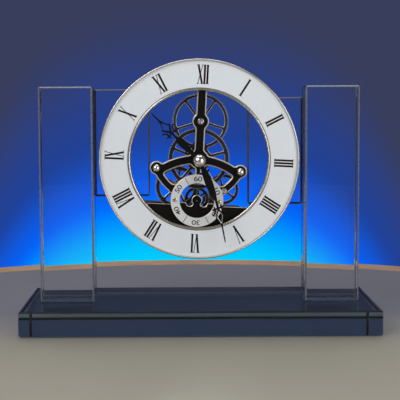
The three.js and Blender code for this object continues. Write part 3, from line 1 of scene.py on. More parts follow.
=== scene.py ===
# %% [markdown]
# # A crystal table clock, finished in Blender
# The real clock is a skeleton dial held by clear glass between two upright slabs on a tinted
# base. Its sizes were settled in the CAD model, which comes in here as a fixed frame. Each
# lesson below takes one group of pieces, says how the real one is made, and rebuilds its
# surface with the rounded edges, prints and finishes that a CAD solid leaves out.

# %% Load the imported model
import math

import bmesh
import bpy
from mathutils import Euler, Matrix, Vector
from mathutils.geometry import delaunay_2d_cdt


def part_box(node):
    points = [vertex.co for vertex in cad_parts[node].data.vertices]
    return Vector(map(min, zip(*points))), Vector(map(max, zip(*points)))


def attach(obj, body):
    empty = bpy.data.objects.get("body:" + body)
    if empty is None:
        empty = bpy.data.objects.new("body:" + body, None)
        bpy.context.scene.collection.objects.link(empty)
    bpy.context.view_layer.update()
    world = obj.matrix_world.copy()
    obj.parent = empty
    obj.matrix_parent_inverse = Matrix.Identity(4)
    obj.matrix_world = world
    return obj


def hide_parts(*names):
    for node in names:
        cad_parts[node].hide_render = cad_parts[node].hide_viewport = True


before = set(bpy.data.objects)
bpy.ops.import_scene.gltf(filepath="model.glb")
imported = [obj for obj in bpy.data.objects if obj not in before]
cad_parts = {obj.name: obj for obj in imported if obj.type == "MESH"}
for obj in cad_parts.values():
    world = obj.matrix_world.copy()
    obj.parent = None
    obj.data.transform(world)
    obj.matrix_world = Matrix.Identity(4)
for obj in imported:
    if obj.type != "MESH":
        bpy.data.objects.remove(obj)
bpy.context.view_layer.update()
scene = bpy.context.scene
scene.view_settings.view_transform = "Standard"

# %% [markdown]
# ## The camera
# The photographer stood a little left of the middle, at the height of the dial's upper half,
# and looked almost level. The base's side edges meet at that height, which fixes the camera's
# place. A level camera with a shifted lens keeps the slabs upright, so it is used here too.

# %% Camera
camera_data = bpy.data.cameras.new("camera")
camera_data.lens = 67.93
camera_data.sensor_width = 36.0
camera_data.shift_x = 0.0539
camera_data.shift_y = -0.1509
camera = bpy.data.objects.new("camera", camera_data)
camera.location = (-0.0151, -0.567, 0.1696)
camera.rotation_euler = Euler((math.radians(87.0), math.radians(0.295), 0.0))
scene.collection.objects.link(camera)
scene.camera = camera
print("camera at", tuple(round(v, 3) for v in camera.location))

# %% [markdown]
# ## Table, backdrop and lamps
# Glass and chrome show mostly their surroundings. A plain table top, a plain backdrop and
# three large soft lamps give both something calm to show. The wall behind the clock is blue
# and lit from below by a lamp behind the table, so a pool of cyan light fades upwards and
# sideways. The room on the photographer's side is a neutral grey, which the metal mirrors.
# Both are the world's colour, chosen by the direction a ray takes, and camera, mirror and
# glass rays see them alike. The light that the world adds to matt surfaces stays even and low
# so that white parts don't burn out.

# %% World and lamps
GLOW = (0.0, 0.66, 0.99, 1.0)
WALL_LOW = (0.0, 0.13, 1.0, 1.0)
WALL_MIDDLE = (0.012, 0.055, 0.335, 1.0)
WALL_ABOVE = (0.040, 0.048, 0.107, 1.0)
ROOM = (0.085, 0.083, 0.080, 1.0)
LOW_FADE, MIDDLE_FADE, ABOVE_FADE = (-0.228, -0.113), (-0.149, -0.036), (-0.081, 0.135)
ROOM_FADE = (-0.30, 0.45)
POOL_X, POOL_CURVE, POOL_WINGS = 0.010, 0.71, 23.5
EVEN_LIGHT, EVEN_STRENGTH = (0.95, 0.97, 1.0, 1.0), 0.47


def link(tree, source, output, target, value):
    tree.links.new(source.outputs[output], target.inputs[value])


def smooth_step(tree, source, output, low, high):
    """Rises softly from 0 to 1 as the value goes from low to high."""
    node = tree.nodes.new("ShaderNodeMapRange")
    node.interpolation_type = "SMOOTHSTEP"
    node.inputs["From Min"].default_value = low
    node.inputs["From Max"].default_value = high
    link(tree, source, output, node, "Value")
    return node


def arithmetic(tree, operation, *values):
    """A math node on its values, each a plain number or a node's (node, output) pair."""
    node = tree.nodes.new("ShaderNodeMath")
    node.operation = operation
    for place, value in enumerate(values):
        if isinstance(value, tuple):
            link(tree, value[0], value[1], node, place)
        else:
            node.inputs[place].default_value = value
    return node, 0


def blended(tree, factor, first, second):
    """Mixes two colours, each a plain colour or a node that makes one."""
    node = tree.nodes.new("ShaderNodeMix")
    node.data_type = "RGBA"
    link(tree, factor, 0, node, 0)
    for place, colour in ((6, first), (7, second)):
        if isinstance(colour, tuple):
            node.inputs[place].default_value = colour
        else:
            tree.links.new(colour.outputs[2], node.inputs[place])
    return node


def build_world():
    world = bpy.data.worlds.new("studio")
    scene.world = world
    world.use_nodes = True
    tree = world.node_tree
    tree.nodes.clear()
    direction = tree.nodes.new("ShaderNodeTexCoord")
    split = tree.nodes.new("ShaderNodeSeparateXYZ")
    link(tree, direction, "Generated", split, 0)
    aside = arithmetic(tree, "SUBTRACT", (split, "X"), POOL_X)
    squared = arithmetic(tree, "MULTIPLY", aside, aside)
    bend = arithmetic(tree, "MULTIPLY_ADD", squared, POOL_WINGS, POOL_CURVE)
    away = arithmetic(tree, "ADD", (split, "Z"), arithmetic(tree, "MULTIPLY", bend, squared))
    low, middle, above = (smooth_step(tree, *away, *fade)
                          for fade in (LOW_FADE, MIDDLE_FADE, ABOVE_FADE))
    wall = blended(tree, low, GLOW, WALL_LOW)
    wall = blended(tree, above, blended(tree, middle, wall, WALL_MIDDLE), WALL_ABOVE)
    behind = smooth_step(tree, split, "Y", *ROOM_FADE)
    seen = tree.nodes.new("ShaderNodeBackground")
    tree.links.new(blended(tree, behind, ROOM, wall).outputs[2], seen.inputs["Color"])
    light = tree.nodes.new("ShaderNodeBackground")
    light.inputs["Color"].default_value = EVEN_LIGHT
    light.inputs["Strength"].default_value = EVEN_STRENGTH
    path = tree.nodes.new("ShaderNodeLightPath")
    any_seen = arithmetic(tree, "MAXIMUM", (path, "Is Camera Ray"), (path, "Is Glossy Ray"))
    any_seen = arithmetic(tree, "MAXIMUM", any_seen, (path, "Is Transmission Ray"))
    mix = tree.nodes.new("ShaderNodeMixShader")
    output = tree.nodes.new("ShaderNodeOutputWorld")
    link(tree, *any_seen, mix, 0)
    link(tree, light, 0, mix, 1)
    link(tree, seen, 0, mix, 2)
    link(tree, mix, 0, output, 0)


def soft_lamp(name, place, aim, size, power):
    data = bpy.data.lights.new(name, "AREA")
    data.shape = "RECTANGLE"
    data.size, data.size_y = size
    data.energy = power
    lamp = bpy.data.objects.new(name, data)
    lamp.location = place
    lamp.rotation_euler = (Vector(aim) - Vector(place)).to_track_quat("-Z", "Y").to_euler()
    lamp.visible_transmission = False
    scene.collection.objects.link(lamp)
    return lamp


build_world()
soft_lamp("key_lamp", (-0.75, -0.75, 0.85), (0, 0, 0.1), (0.7, 0.7), 8.0)
soft_lamp("fill_lamp", (0.85, -0.80, 0.28), (0, 0, 0.08), (0.6, 0.7), 6.0)
soft_lamp("top_lamp", (0.0, 0.35, 1.05), (0, 0.1, 0.0), (1.0, 0.7), 7.0)

# %% [markdown]
# ## Finishes
# No real surface is one flat colour. A lacquer has faint clouds, a turned metal part has
# rings from the tool, a moulded part has a fine grain. One helper makes all of these from
# noise in the piece's own coordinates: even noise for cast and painted parts, and noise over
# the distance from the axis for turned ones.


def socket(node, name, value):
    if name in node.inputs:
        node.inputs[name].default_value = value


def map_range(tree, source, low, high):
    node = tree.nodes.new("ShaderNodeMapRange")
    node.inputs["From Min"].default_value = 0.3
    node.inputs["From Max"].default_value = 0.7
    node.inputs["To Min"].default_value = low
    node.inputs["To Max"].default_value = high
    link(tree, source, 0, node, "Value")
    return node


def piece_coordinates(tree, pattern, scale):
    coordinates = tree.nodes.new("ShaderNodeTexCoord")
    mapping = tree.nodes.new("ShaderNodeMapping")
    if pattern == "turned":
        split = tree.nodes.new("ShaderNodeSeparateXYZ")
        flat = tree.nodes.new("ShaderNodeCombineXYZ")
        length = tree.nodes.new("ShaderNodeVectorMath")
        length.operation = "LENGTH"
        ring = tree.nodes.new("ShaderNodeCombineXYZ")
        link(tree, coordinates, "Object", split, 0)
        link(tree, split, "X", flat, "X")
        link(tree, split, "Z", flat, "Y")
        link(tree, flat, 0, length, 0)
        link(tree, length, "Value", ring, "X")
        link(tree, split, "Y", ring, "Y")
        link(tree, ring, 0, mapping, 0)
    else:
        link(tree, coordinates, "Object", mapping, 0)
    mapping.inputs["Scale"].default_value = scale
    return mapping


def finish(name, slot, colour, metallic=0.0, roughness=0.4, pattern="even", scale=(300, 300, 300),
           vary=0.06, gloss_vary=0.05, bump=0.01, **extra):
    material = bpy.data.materials.new(name)
    material.use_nodes = True
    tree = material.node_tree
    shader = tree.nodes["Principled BSDF"]
    noise = tree.nodes.new("ShaderNodeTexNoise")
    noise.inputs["Scale"].default_value = 1.0
    noise.inputs["Detail"].default_value = 4.0
    link(tree, piece_coordinates(tree, pattern, scale), 0, noise, "Vector")
    mix = tree.nodes.new("ShaderNodeMix")
    mix.data_type = "RGBA"
    link(tree, map_range(tree, noise, 0.0, 1.0), 0, mix, 0)
    mix.inputs[6].default_value = tuple(c * (1 - vary) for c in colour) + (1.0,)
    mix.inputs[7].default_value = tuple(min(c * (1 + vary), 1.0) for c in colour) + (1.0,)
    tree.links.new(mix.outputs[2], shader.inputs["Base Color"])
    rough = map_range(tree, noise, max(roughness - gloss_vary, 0.0), roughness + gloss_vary)
    link(tree, rough, 0, shader, "Roughness")
    if bump:
        relief = tree.nodes.new("ShaderNodeBump")
        relief.inputs["Strength"].default_value = bump
        relief.inputs["Distance"].default_value = 0.0002
        link(tree, noise, 0, relief, "Height")
        link(tree, relief, 0, shader, "Normal")
    socket(shader, "Metallic", metallic)
    for key, value in extra.items():
        socket(shader, key.replace("_", " "), value)
    return material


# %% [markdown]
# The metals and lacquers follow. Blackened plates keep a slight brown, the bezels are a pale
# champagne plating, with a dark flank ring painted in as the shadow beside the opening, and the
# balls are bright chrome.

# %% Metals, lacquers and plastics
CHAMPAGNE = finish("champagne_plating", "champagne", (0.78, 0.71, 0.62), 1.0, 0.26, "turned",
                   (900, 300, 300), 0.03, 0.02, 0.0)
BLACKENED = finish("blackened_plate", "black_lacquer", (0.0040, 0.0037, 0.0036), 0.0, 0.42, "even",
                   (900, 900, 900), 0.25, 0.08, 0.03, Specular_IOR_Level=0.16)
# Painted shade: this dark flank ring stands for the shadow line between the opening bezel and the
# white ring.
PAINTED_SHADOW_FLANK = finish("bezel_shadow_flank", "champagne", (0.125, 0.108, 0.096), 0.3, 0.4, "turned",
               (900, 300, 300), 0.03, 0.02, 0.0)
CUT_EDGE = finish("bright_cut_edge", "black_lacquer", (0.74, 0.66, 0.60), 0.55, 0.34, "even",
                  (1500, 1500, 1500), 0.08, 0.08, 0.02)
WHEEL_FACE = finish("dark_wheel_face", "dark_wheel", (0.020, 0.018, 0.017), 0.3, 0.42, "turned",
                    (2400, 300, 300), 0.3, 0.1, 0.03)
WHEEL_EDGE = finish("wheel_cut_edge", "dark_wheel", (0.55, 0.52, 0.48), 0.45, 0.34, "even",
                    (1500, 1500, 1500), 0.1, 0.08, 0.02)
CHROME = finish("bright_chrome", "chrome", (0.88, 0.84, 0.79), 1.0, 0.26, "turned",
                (600, 300, 300), 0.02, 0.02, 0.0)
STEEL = finish("turned_steel", "steel", (0.60, 0.60, 0.60), 1.0, 0.26, "even",
               (1200, 1200, 1200), 0.08, 0.08, 0.02)
BRASS = finish("lacquered_brass", "brass", (0.74, 0.56, 0.28), 1.0, 0.26, "even",
               (1200, 1200, 1200), 0.08, 0.08, 0.02)
SATIN_SILVER = finish("satin_silver_ring", "brushed_silver", (0.80, 0.82, 0.84), 0.42, 0.36,
                      "turned", (3600, 300, 300), 0.08, 0.1, 0.04)
MOULDED = finish("moulded_plastic", "black_plastic", (0.018, 0.018, 0.019), 0.0, 0.5, "even",
                 (2600, 2600, 2600), 0.2, 0.08, 0.12)
HAND_EDGE = finish("hand_edge", "black_lacquer", (0.50, 0.48, 0.45), 0.5, 0.36, "even",
                   (900, 900, 900), 0.15, 0.06, 0.02)
HAND_BLACK = finish("hand_black", "black_lacquer", (0.0040, 0.0040, 0.0040), 0.0, 0.32, "even",
                    (900, 900, 900), 0.25, 0.06, 0.02, Specular_IOR_Level=0.2)
DIAL_PAINT = finish("dial_paint", "dial_white", (0.68, 0.715, 0.755), 0.0, 0.32, "even",
                    (120, 120, 120), 0.012, 0.04, 0.01, Coat_Weight=0.15)
DIAL_PRINT = finish("dial_print", "dial_white", (0.016, 0.004, 0.003), 0.0, 0.36, "even",
                    (900, 900, 900), 0.2, 0.05, 0.0, Specular_IOR_Level=0.15)
RING_PRINT = finish("ring_print", "brushed_silver", (0.016, 0.015, 0.015), 0.0, 0.4, "even",
                    (900, 900, 900), 0.2, 0.05, 0.0)

# %% [markdown]
# ## Glass
# Crystal glass is clear, but a long way through it takes light away, most from the red. The
# shader's surface stays clean and an absorption volume takes the light, so thick parts and
# edges turn darker by themselves. The base is the same glass with a smoky navy tint.

# %% Glass materials


def glass(name, slot, tint, dimming, density, roughness=0.0):
    material = finish(name, slot, tint, 0.0, roughness, "even", (40, 40, 40), 0.004, 0.0, 0.0,
                      Transmission_Weight=1.0, IOR=1.52)
    tree = material.node_tree
    volume = tree.nodes.new("ShaderNodeVolumeAbsorption")
    volume.inputs["Color"].default_value = dimming + (1.0,)
    volume.inputs["Density"].default_value = density
    output = tree.nodes["Material Output"]
    link(tree, volume, 0, output, "Volume")
    return material


SOFT_MIRROR = (0.35, 0.35, 0.35, 1.0)
CLEAR_GLASS = glass("clear_crystal", "clear_glass", (0.985, 0.992, 0.99), (0.62, 0.74, 0.72), 4.0)
socket(CLEAR_GLASS.node_tree.nodes["Principled BSDF"], "Specular Tint", SOFT_MIRROR)
TINTED_GLASS = glass("smoky_crystal", "tinted_glass", (0.95, 0.97, 0.98), (0.34, 0.60, 0.63), 20.0)
RUBBER = glass("soft_rubber", "clear_rubber", (0.9, 0.9, 0.9), (0.7, 0.7, 0.7), 60.0, 0.25)
# Painted shade: these chamfer finishes are opaque and darker than ground glass. They stand in for
# the dark room that real glass edges show. The grinding and the glued joints are real.
SHADED_GROUND_ARRIS = finish("ground_arris_shaded", "clear_glass", (0.130, 0.145, 0.170), 0.0, 0.3, "even",
               (700, 700, 700), 0.2, 0.1, 0.02)
SHADED_GLUED_EDGE = finish("glued_edge_shaded", "clear_glass", (0.060, 0.050, 0.044), 0.0, 0.38, "even",
                    (700, 700, 700), 0.3, 0.1, 0.02)
SHADED_SMOKY_ARRIS = finish("smoky_arris_shaded", "tinted_glass", (0.014, 0.013, 0.012), 0.0, 0.35, "even",
                     (700, 700, 700), 0.3, 0.1, 0.02, Specular_IOR_Level=0.25)
print("glass finishes:", [m.name for m in bpy.data.materials if "crystal" in m.name])

# %% [markdown]
# ## Measuring up
# The dial was glued in about three degrees off upright. Every piece on it is drawn flat, as
# on a drawing board, with x to the right and z up from the dial's middle, and is then turned
# into place by one matrix. The middle comes from the CAD ring's own box.

# %% The dial's frame and the piece helper
MM = 0.001
DIAL_TURN = 3.0
low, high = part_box("chapter_ring")
dial_middle = (low.z + high.z) / 2
DIAL = Matrix.Translation((0, 0, dial_middle)) @ Matrix.Rotation(
    math.radians(DIAL_TURN), 4, "Y")
UPRIGHT = Matrix.Identity(4)
print("dial middle at z =", round(dial_middle, 4))


def weight_normals(obj):
    """Lets each large flat face keep its own normal, so that only its rounded border shades."""
    weighted = obj.modifiers.new("weighted_normals", "WEIGHTED_NORMAL")
    weighted.mode = "FACE_AREA"
    weighted.keep_sharp = True


def piece(name, bm, materials, body, stands_for=(), at=(0, 0), turn=0.0, space=None, sharp=32):
    """Turns a finished bmesh, drawn in millimetres, into an object that rides on a body.

    The turn goes into the mesh and not onto the object, so the object's box stays tight.
    """
    bmesh.ops.scale(bm, vec=(MM, MM, MM), verts=bm.verts)
    bmesh.ops.recalc_face_normals(bm, faces=bm.faces)
    place = (DIAL if space is None else space) @ Matrix.Translation(
        (at[0] * MM, 0, at[1] * MM)) @ Matrix.Rotation(math.radians(turn), 4, "Y")
    mesh = bpy.data.meshes.new(name)
    bm.to_mesh(mesh)
    bm.free()
    mesh.transform(place.to_3x3().to_4x4())
    for material in materials:
        mesh.materials.append(material)
    mesh.shade_smooth()
    mesh.set_sharp_from_angle(angle=math.radians(sharp))
    obj = bpy.data.objects.new(name, mesh)
    scene.collection.objects.link(obj)
    obj.matrix_world = Matrix.Translation(place.translation)
    weight_normals(obj)
    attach(obj, body)
    if stands_for:
        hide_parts(*stands_for)
    return obj


# %% [markdown]
# ## The crystal blocks
# A block is sawn, ground and polished, and its edges get a narrow flat chamfer, because a
# sharp glass edge chips. Those chamfers are what the eye sees of clear glass: thin bright
# lines. A bevel on a plain box would do it, and a second, much finer bevel rounds the
# chamfer's own edges so that they catch the light. The chamfers are ground and not polished,
# so they are grey and not clear. Their opaque grey is also painted shade, darker than ground
# glass, for the dark room that real glass edges show. The wings' glued edges are painted darker
# still, and the base's upper and back chamfers nearly black, as painted shade.

# %% Slabs, wings and base
FLAT, LEANING = 0.99, 0.2


def block(low, high, chamfer, fine=0.12, rear=None):
    """A box with chamfers, which take the second material. Those behind can be narrower."""
    bm = bmesh.new()
    bmesh.ops.create_cube(bm, size=1.0)
    for vert in bm.verts:
        for axis in range(3):
            vert.co[axis] = low[axis] if vert.co[axis] < 0 else high[axis]
    bmesh.ops.bevel(bm, geom=bm.edges[:], offset=chamfer, offset_type="OFFSET", segments=1,
                    profile=0.5, affect="EDGES")
    for vert in bm.verts:
        if rear is not None and vert.co.y > high[1] - chamfer - 0.01:
            if vert.co.y > high[1] - 0.01:
                for axis in (0, 2):
                    middle = (low[axis] + high[axis]) / 2
                    vert.co[axis] += math.copysign(chamfer - rear, vert.co[axis] - middle)
            else:
                vert.co.y = high[1] - rear
    bmesh.ops.bevel(bm, geom=bm.edges[:], offset=fine, offset_type="OFFSET", segments=2,
                    profile=0.5, affect="EDGES", clamp_overlap=True)
    bm.normal_update()
    for face in bm.faces:
        face.material_index = 0 if max(abs(v) for v in face.normal) > FLAT else 1
    return bm


def crystal(node, glass_finish, edge_finish, chamfer, rear, is_ground_and_shaded):
    """A block in the CAD box of node. Where the face test says so, its faces take the edge finish:
    ground glass with painted shade.
    """
    low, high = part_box(node)
    bm = block([v / MM for v in low], [v / MM for v in high], chamfer, rear=rear)
    for face in bm.faces:
        face.material_index = 1 if is_ground_and_shaded(face.normal) else 0
    return piece(node + "_crystal", bm, [glass_finish, edge_finish], "frame", [node], space=UPRIGHT,
                 sharp=18)


def any_chamfer(normal):
    return max(abs(v) for v in normal) < FLAT


def shown_chamfer(normal):
    return any_chamfer(normal) and (normal.y < -LEANING or normal.z < -LEANING)


def upper_chamfer(normal):
    return any_chamfer(normal) and (normal.z > LEANING or normal.y > LEANING)


def narrow_face(normal):
    return abs(normal.y) < FLAT


for node, glass_finish, edge_finish, chamfer, rear, is_ground_and_shaded in (
    ("base_block", TINTED_GLASS, SHADED_SMOKY_ARRIS, 0.9, 0.9, upper_chamfer),
    ("left_slab", CLEAR_GLASS, SHADED_GROUND_ARRIS, 1.0, 0.55, shown_chamfer),
    ("right_slab", CLEAR_GLASS, SHADED_GROUND_ARRIS, 1.0, 0.55, shown_chamfer),
    ("left_wing", CLEAR_GLASS, SHADED_GLUED_EDGE, 0.8, 0.8, narrow_face),
    ("right_wing", CLEAR_GLASS, SHADED_GLUED_EDGE, 0.8, 0.8, narrow_face),
):
    made = crystal(node, glass_finish, edge_finish, chamfer, rear, is_ground_and_shaded)
    print(made.name, len(made.data.polygons), "faces")

# %% [markdown]
# ## The table
# It is a plain round table top with a rounded edge and a wooden rim let into it. It ends
# behind the clock, as in the photograph, and darkens softly towards the back.
# That darkening is painted shade, because the lamps stand in front.

# %% Table top
TABLE = finish("table_top", "clear_rubber", (0.305, 0.284, 0.226), 0.0, 0.22, "even", (9, 9, 9),
               0.03, 0.05, 0.0, Specular_IOR_Level=0.5)
# Painted shade: towards the back the table's colour turns to this darker one, where the lamps in
# front light it less.
TABLE_PAINTED_SHADE = (0.156, 0.152, 0.170, 1.0)
DARKENS_FROM, DARKENS_TO = -0.075, 0.035
TABLE_RIM = finish("table_rim", "clear_rubber", (0.34, 0.21, 0.115), 0.0, 0.4, "even",
                   (40, 40, 40), 0.12, 0.05, 0.0)


# Paints shade into the table's colour, fading to the darker colour towards the back.
def paint_shade_behind(material):
    tree = material.node_tree
    place = tree.nodes.new("ShaderNodeSeparateXYZ")
    link(tree, tree.nodes["Texture Coordinate"], "Object", place, 0)
    behind = smooth_step(tree, place, "Y", DARKENS_FROM, DARKENS_TO)
    shade = blended(tree, behind, tree.nodes["Mix"], TABLE_PAINTED_SHADE)
    tree.links.new(shade.outputs[2], tree.nodes["Principled BSDF"].inputs["Base Color"])


def build_table(radius=620, middle=-0.389, depth=30, band=26, sides=240):
    """A disc and a rim, each a row of rings about an upright axis. Middle is in metres."""
    bm = bmesh.new()
    profile = [(radius - band, 0.0, 0), (radius - 6, 0.0, 1), (radius - 2.5, -0.2, 1),
               (radius - 0.6, -1.4, 1), (radius, -3.5, 1), (radius, -depth, 1),
               (radius - 40, -depth, 1)]
    rings = [[bm.verts.new((r * math.cos(a), r * math.sin(a), z))
              for a in (2 * math.pi * k / sides for k in range(sides))] for r, z, _ in profile]
    bm.faces.new(rings[0])
    for (_, _, index), outer, inner in zip(profile[1:], rings[1:], rings):
        for k in range(sides):
            n = (k + 1) % sides
            bm.faces.new((inner[k], inner[n], outer[n], outer[k])).material_index = index
    bm.faces.new(rings[-1][::-1]).material_index = 1
    bmesh.ops.scale(bm, vec=(MM, MM, MM), verts=bm.verts)
    bmesh.ops.translate(bm, vec=(0, middle, 0), verts=bm.verts)
    bmesh.ops.recalc_face_normals(bm, faces=bm.faces)
    mesh = bpy.data.meshes.new("table_top")
    bm.to_mesh(mesh)
    bm.free()
    paint_shade_behind(TABLE)
    mesh.materials.append(TABLE)
    mesh.materials.append(TABLE_RIM)
    table = bpy.data.objects.new("table_top", mesh)
    scene.collection.objects.link(table)
    return table


print("table top:", build_table().name)

# %% [markdown]
# ## Turning
# Bezels, balls, nuts, screws and feet come off a lathe. So does their mesh: a profile of
# radius and depth is spun about the piece's axis, which is the dial's depth axis. Real turned
# parts have no knife-sharp corners, so a second helper rounds the profile first.

# %% Lathe helpers


def curved(start, corner, end, steps):
    """Points along a quadratic curve from start to end, which leans towards the corner."""
    start, corner, end = Vector(start), Vector(corner), Vector(end)
    return [start * (1 - t) ** 2 + corner * 2 * t * (1 - t) + end * t ** 2
            for t in (step / steps for step in range(steps + 1))]


def rounded(profile, reach, steps=3, closed=False):
    """Replaces each corner of a line of points with a short curve that starts reach before it."""
    count = len(profile)
    out = []
    for k, point in enumerate(profile):
        if not closed and k in (0, count - 1):
            out.append(point)
            continue
        corner = Vector(point)
        before = Vector(profile[k - 1]) - corner
        after = Vector(profile[(k + 1) % count]) - corner
        cut = min(reach, before.length * 0.45, after.length * 0.45)
        start = corner + before.normalized() * cut
        end = corner + after.normalized() * cut
        out.extend(tuple(p) for p in curved(start, corner, end, steps))
    return out


def lathe(profile, steps=64, closed=False):
    """Spins (radius, depth) points about the depth axis. A closed profile makes a ring."""
    bm = bmesh.new()
    rows = []
    for radius, depth in profile:
        if radius < 1e-6:
            rows.append([bm.verts.new((0, depth, 0))])
            continue
        rows.append([bm.verts.new((radius * math.cos(a), depth, radius * math.sin(a)))
                     for a in (2 * math.pi * k / steps for k in range(steps))])
    pairs = list(zip(rows, rows[1:] + ([rows[0]] if closed else [])))
    for first, second in pairs[:len(rows) if closed else len(rows) - 1]:
        for k in range(steps):
            n = (k + 1) % steps
            face = [first[k % len(first)], first[n % len(first)],
                    second[n % len(second)], second[k % len(second)]]
            face = list(dict.fromkeys(face))
            if len(face) > 2:
                bm.faces.new(face)
    return bm


def polar(radius, degrees, x=0.0, z=0.0):
    """The point at an angle, counted from the right towards the top, on a circle."""
    return (x + radius * math.cos(math.radians(degrees)),
            z + radius * math.sin(math.radians(degrees)))


def arc(x, z, radius, start, end, steps):
    """Points from one angle to another round a middle."""
    return [polar(radius, start + (end - start) * k / steps, x, z) for k in range(steps + 1)]


def circle(radius, x=0.0, z=0.0, sides=48):
    return arc(x, z, radius, 0, 360, sides)[:-1]


print("a spun disc has", len(lathe([(0, 0), (1, 0), (1, 1), (0, 1)]).faces), "faces")

# %% [markdown]
# ## The dial ring and its bezels
# The white ring is a painted brass annulus. A rolled bezel grips it outside, and another lines
# the opening. A dark flank ring beside it is painted shade: the shadow line where that bezel
# meets the white ring. Both are bright plated metal, and their rounded crowns draw the thin
# warm lines round the dial.

# %% Dial ring and bezels
RING_OUT, RING_IN, PAINT = 73.58, 52.4, -5.5
ring_profile = rounded([(RING_IN, -4.0), (RING_OUT, -4.0), (RING_OUT, PAINT),
                        (RING_IN, PAINT)], 0.2, closed=True)
piece("dial_ring", lathe(ring_profile, 160, True), [DIAL_PAINT], "frame", ["chapter_ring"])
outer_profile = rounded([(73.0, 1.7), (74.88, 1.7), (74.88, -6.3), (74.5, -7.2), (74.05, -7.35),
                         (73.72, -6.5), (73.62, -5.52), (73.62, -3.9), (73.0, -3.9)], 0.4, 4,
                        True)
piece("rolled_bezel", lathe(outer_profile, 256, True), [CHAMPAGNE], "frame", ["outer_bezel"])
inner_profile = rounded([(51.25, -4.1), (52.1, -4.1), (52.1, -5.52), (52.85, -5.52),
                         (52.85, -6.25), (52.45, -6.7), (51.85, -6.7), (51.25, -6.1)], 0.4, 4,
                        True)
flank_profile = rounded([(52.86, -5.52), (53.5, -5.52), (53.42, -5.7), (52.86, -6.05)], 0.06, 3,
                        True)
# The flank ring is painted shade, the shadow line where the opening bezel meets the dial.
piece("bezel_shadow_flank", lathe(flank_profile, 200, True), [PAINTED_SHADOW_FLANK], "frame", ["inner_bezel"])
piece("opening_bezel", lathe(inner_profile, 200, True), [CHAMPAGNE], "frame", ["inner_bezel"])
print("ring from", RING_IN, "to", RING_OUT, "mm")

# %% [markdown]
# ## Drawing flat parts
# Bridges, wheels, hands and printed figures are all flat parts. Each is drawn as simple
# outlines that overlap, as with compass and rule. A triangulation of all outlines together
# tells which triangles lie inside, and the border of those is the merged outline, with its
# inner windows. Boolean modifiers could do this too, but they leave ragged seams where arcs
# meet.

# %% Merged outlines


def merged(add, cut=()):
    """The outlines, outer ones and windows, of all shapes in add less those in cut."""
    points, faces = [], []
    for shape in list(add) + list(cut):
        area = sum(a[0] * b[1] - b[0] * a[1] for a, b in zip(shape, shape[1:] + shape[:1]))
        ordered = shape if area > 0 else shape[::-1]
        faces.append(list(range(len(points), len(points) + len(ordered))))
        points.extend(Vector(p) for p in ordered)
    made = delaunay_2d_cdt(points, [], faces, 0, 1e-4, True)
    where, triangles, sources = made[0], made[2], made[5]
    kept = [t for t, s in zip(triangles, sources)
            if any(i < len(add) for i in s) and not any(i >= len(add) for i in s)]
    edges = {(t[k], t[(k + 1) % len(t)]) for t in kept for k in range(len(t))}
    follow = {a: b for a, b in edges if (b, a) not in edges}
    loops = []
    while follow:
        start, end = follow.popitem()
        loop = [start]
        while end != start and end in follow:
            loop.append(end)
            end = follow.pop(end)
        loops.append([tuple(where[i]) for i in loop])
    return [loop for loop in (thinned(loop) for loop in loops) if len(loop) > 2]


def thinned(loop, gap=0.03):
    """Drops points that lie closer together than gap, or on a straight line."""
    out = []
    for point in loop:
        if not out or (Vector(point) - Vector(out[-1])).length > gap:
            out.append(point)
    if len(out) > 2 and (Vector(out[0]) - Vector(out[-1])).length <= gap:
        out.pop()
    kept = []
    for k, point in enumerate(out):
        a = Vector(point) - Vector(out[k - 1])
        b = Vector(out[(k + 1) % len(out)]) - Vector(point)
        if abs(a.cross(b)) > 1e-4 * a.length * b.length:
            kept.append(point)
    return kept


def eased(loop, reach, angle=24.0, steps=5):
    """Rounds the sharp corners of a closed loop, over a length of outline either side."""
    points = [Vector(p) for p in loop]
    count = len(points)
    marks = []
    for k in range(count):
        a = points[k] - points[k - 1]
        b = points[(k + 1) % count] - points[k]
        if abs(a.angle_signed(b, 0.0)) > math.radians(angle):
            marks.append(k)
    if not marks:
        return loop
    lengths = [0.0]
    for k in range(count):
        lengths.append(lengths[-1] + (points[(k + 1) % count] - points[k]).length)
    total = lengths[-1]

    def at(distance):
        distance %= total
        k = max(i for i in range(count) if lengths[i] <= distance)
        span = lengths[k + 1] - lengths[k]
        return points[k].lerp(points[(k + 1) % count], (distance - lengths[k]) / span)

    cuts = []
    for i, k in enumerate(marks):
        back = (lengths[k] - lengths[marks[i - 1]]) % total or total
        ahead = (lengths[marks[(i + 1) % len(marks)]] - lengths[k]) % total or total
        cuts.append((min(reach, back * 0.48), min(reach, ahead * 0.48)))
    out = []
    for i, k in enumerate(marks):
        back, ahead = cuts[i]
        start, end = at(lengths[k] - back), at(lengths[k] + ahead)
        out.extend(curved(start, points[k], end, steps))
        nxt = marks[(i + 1) % len(marks)]
        stop = (lengths[nxt] - cuts[(i + 1) % len(marks)][0] - lengths[k]) % total
        out.extend(points[j % count] for j in range(k + 1, k + count)
                   if ahead < (lengths[j % count] - lengths[k]) % total < stop)
    return thinned([tuple(p) for p in out], 0.02)


def ribbon(line, width):
    """The outline of a strip of even width along a line of points."""
    left, right = [], []
    for k, point in enumerate(line):
        before, after = line[max(k - 1, 0)], line[min(k + 1, len(line) - 1)]
        way = (Vector(after) - Vector(before)).normalized() * (width / 2)
        left.append((point[0] - way.y, point[1] + way.x))
        right.append((point[0] + way.y, point[1] - way.x))
    return left + right[::-1]


def box(left, right, bottom, top):
    return [(left, bottom), (right, bottom), (right, top), (left, top)]


print("two crossed boxes merge to", len(merged([box(-2, 2, -1, 1), box(-1, 1, -2, 2)])), "outline")

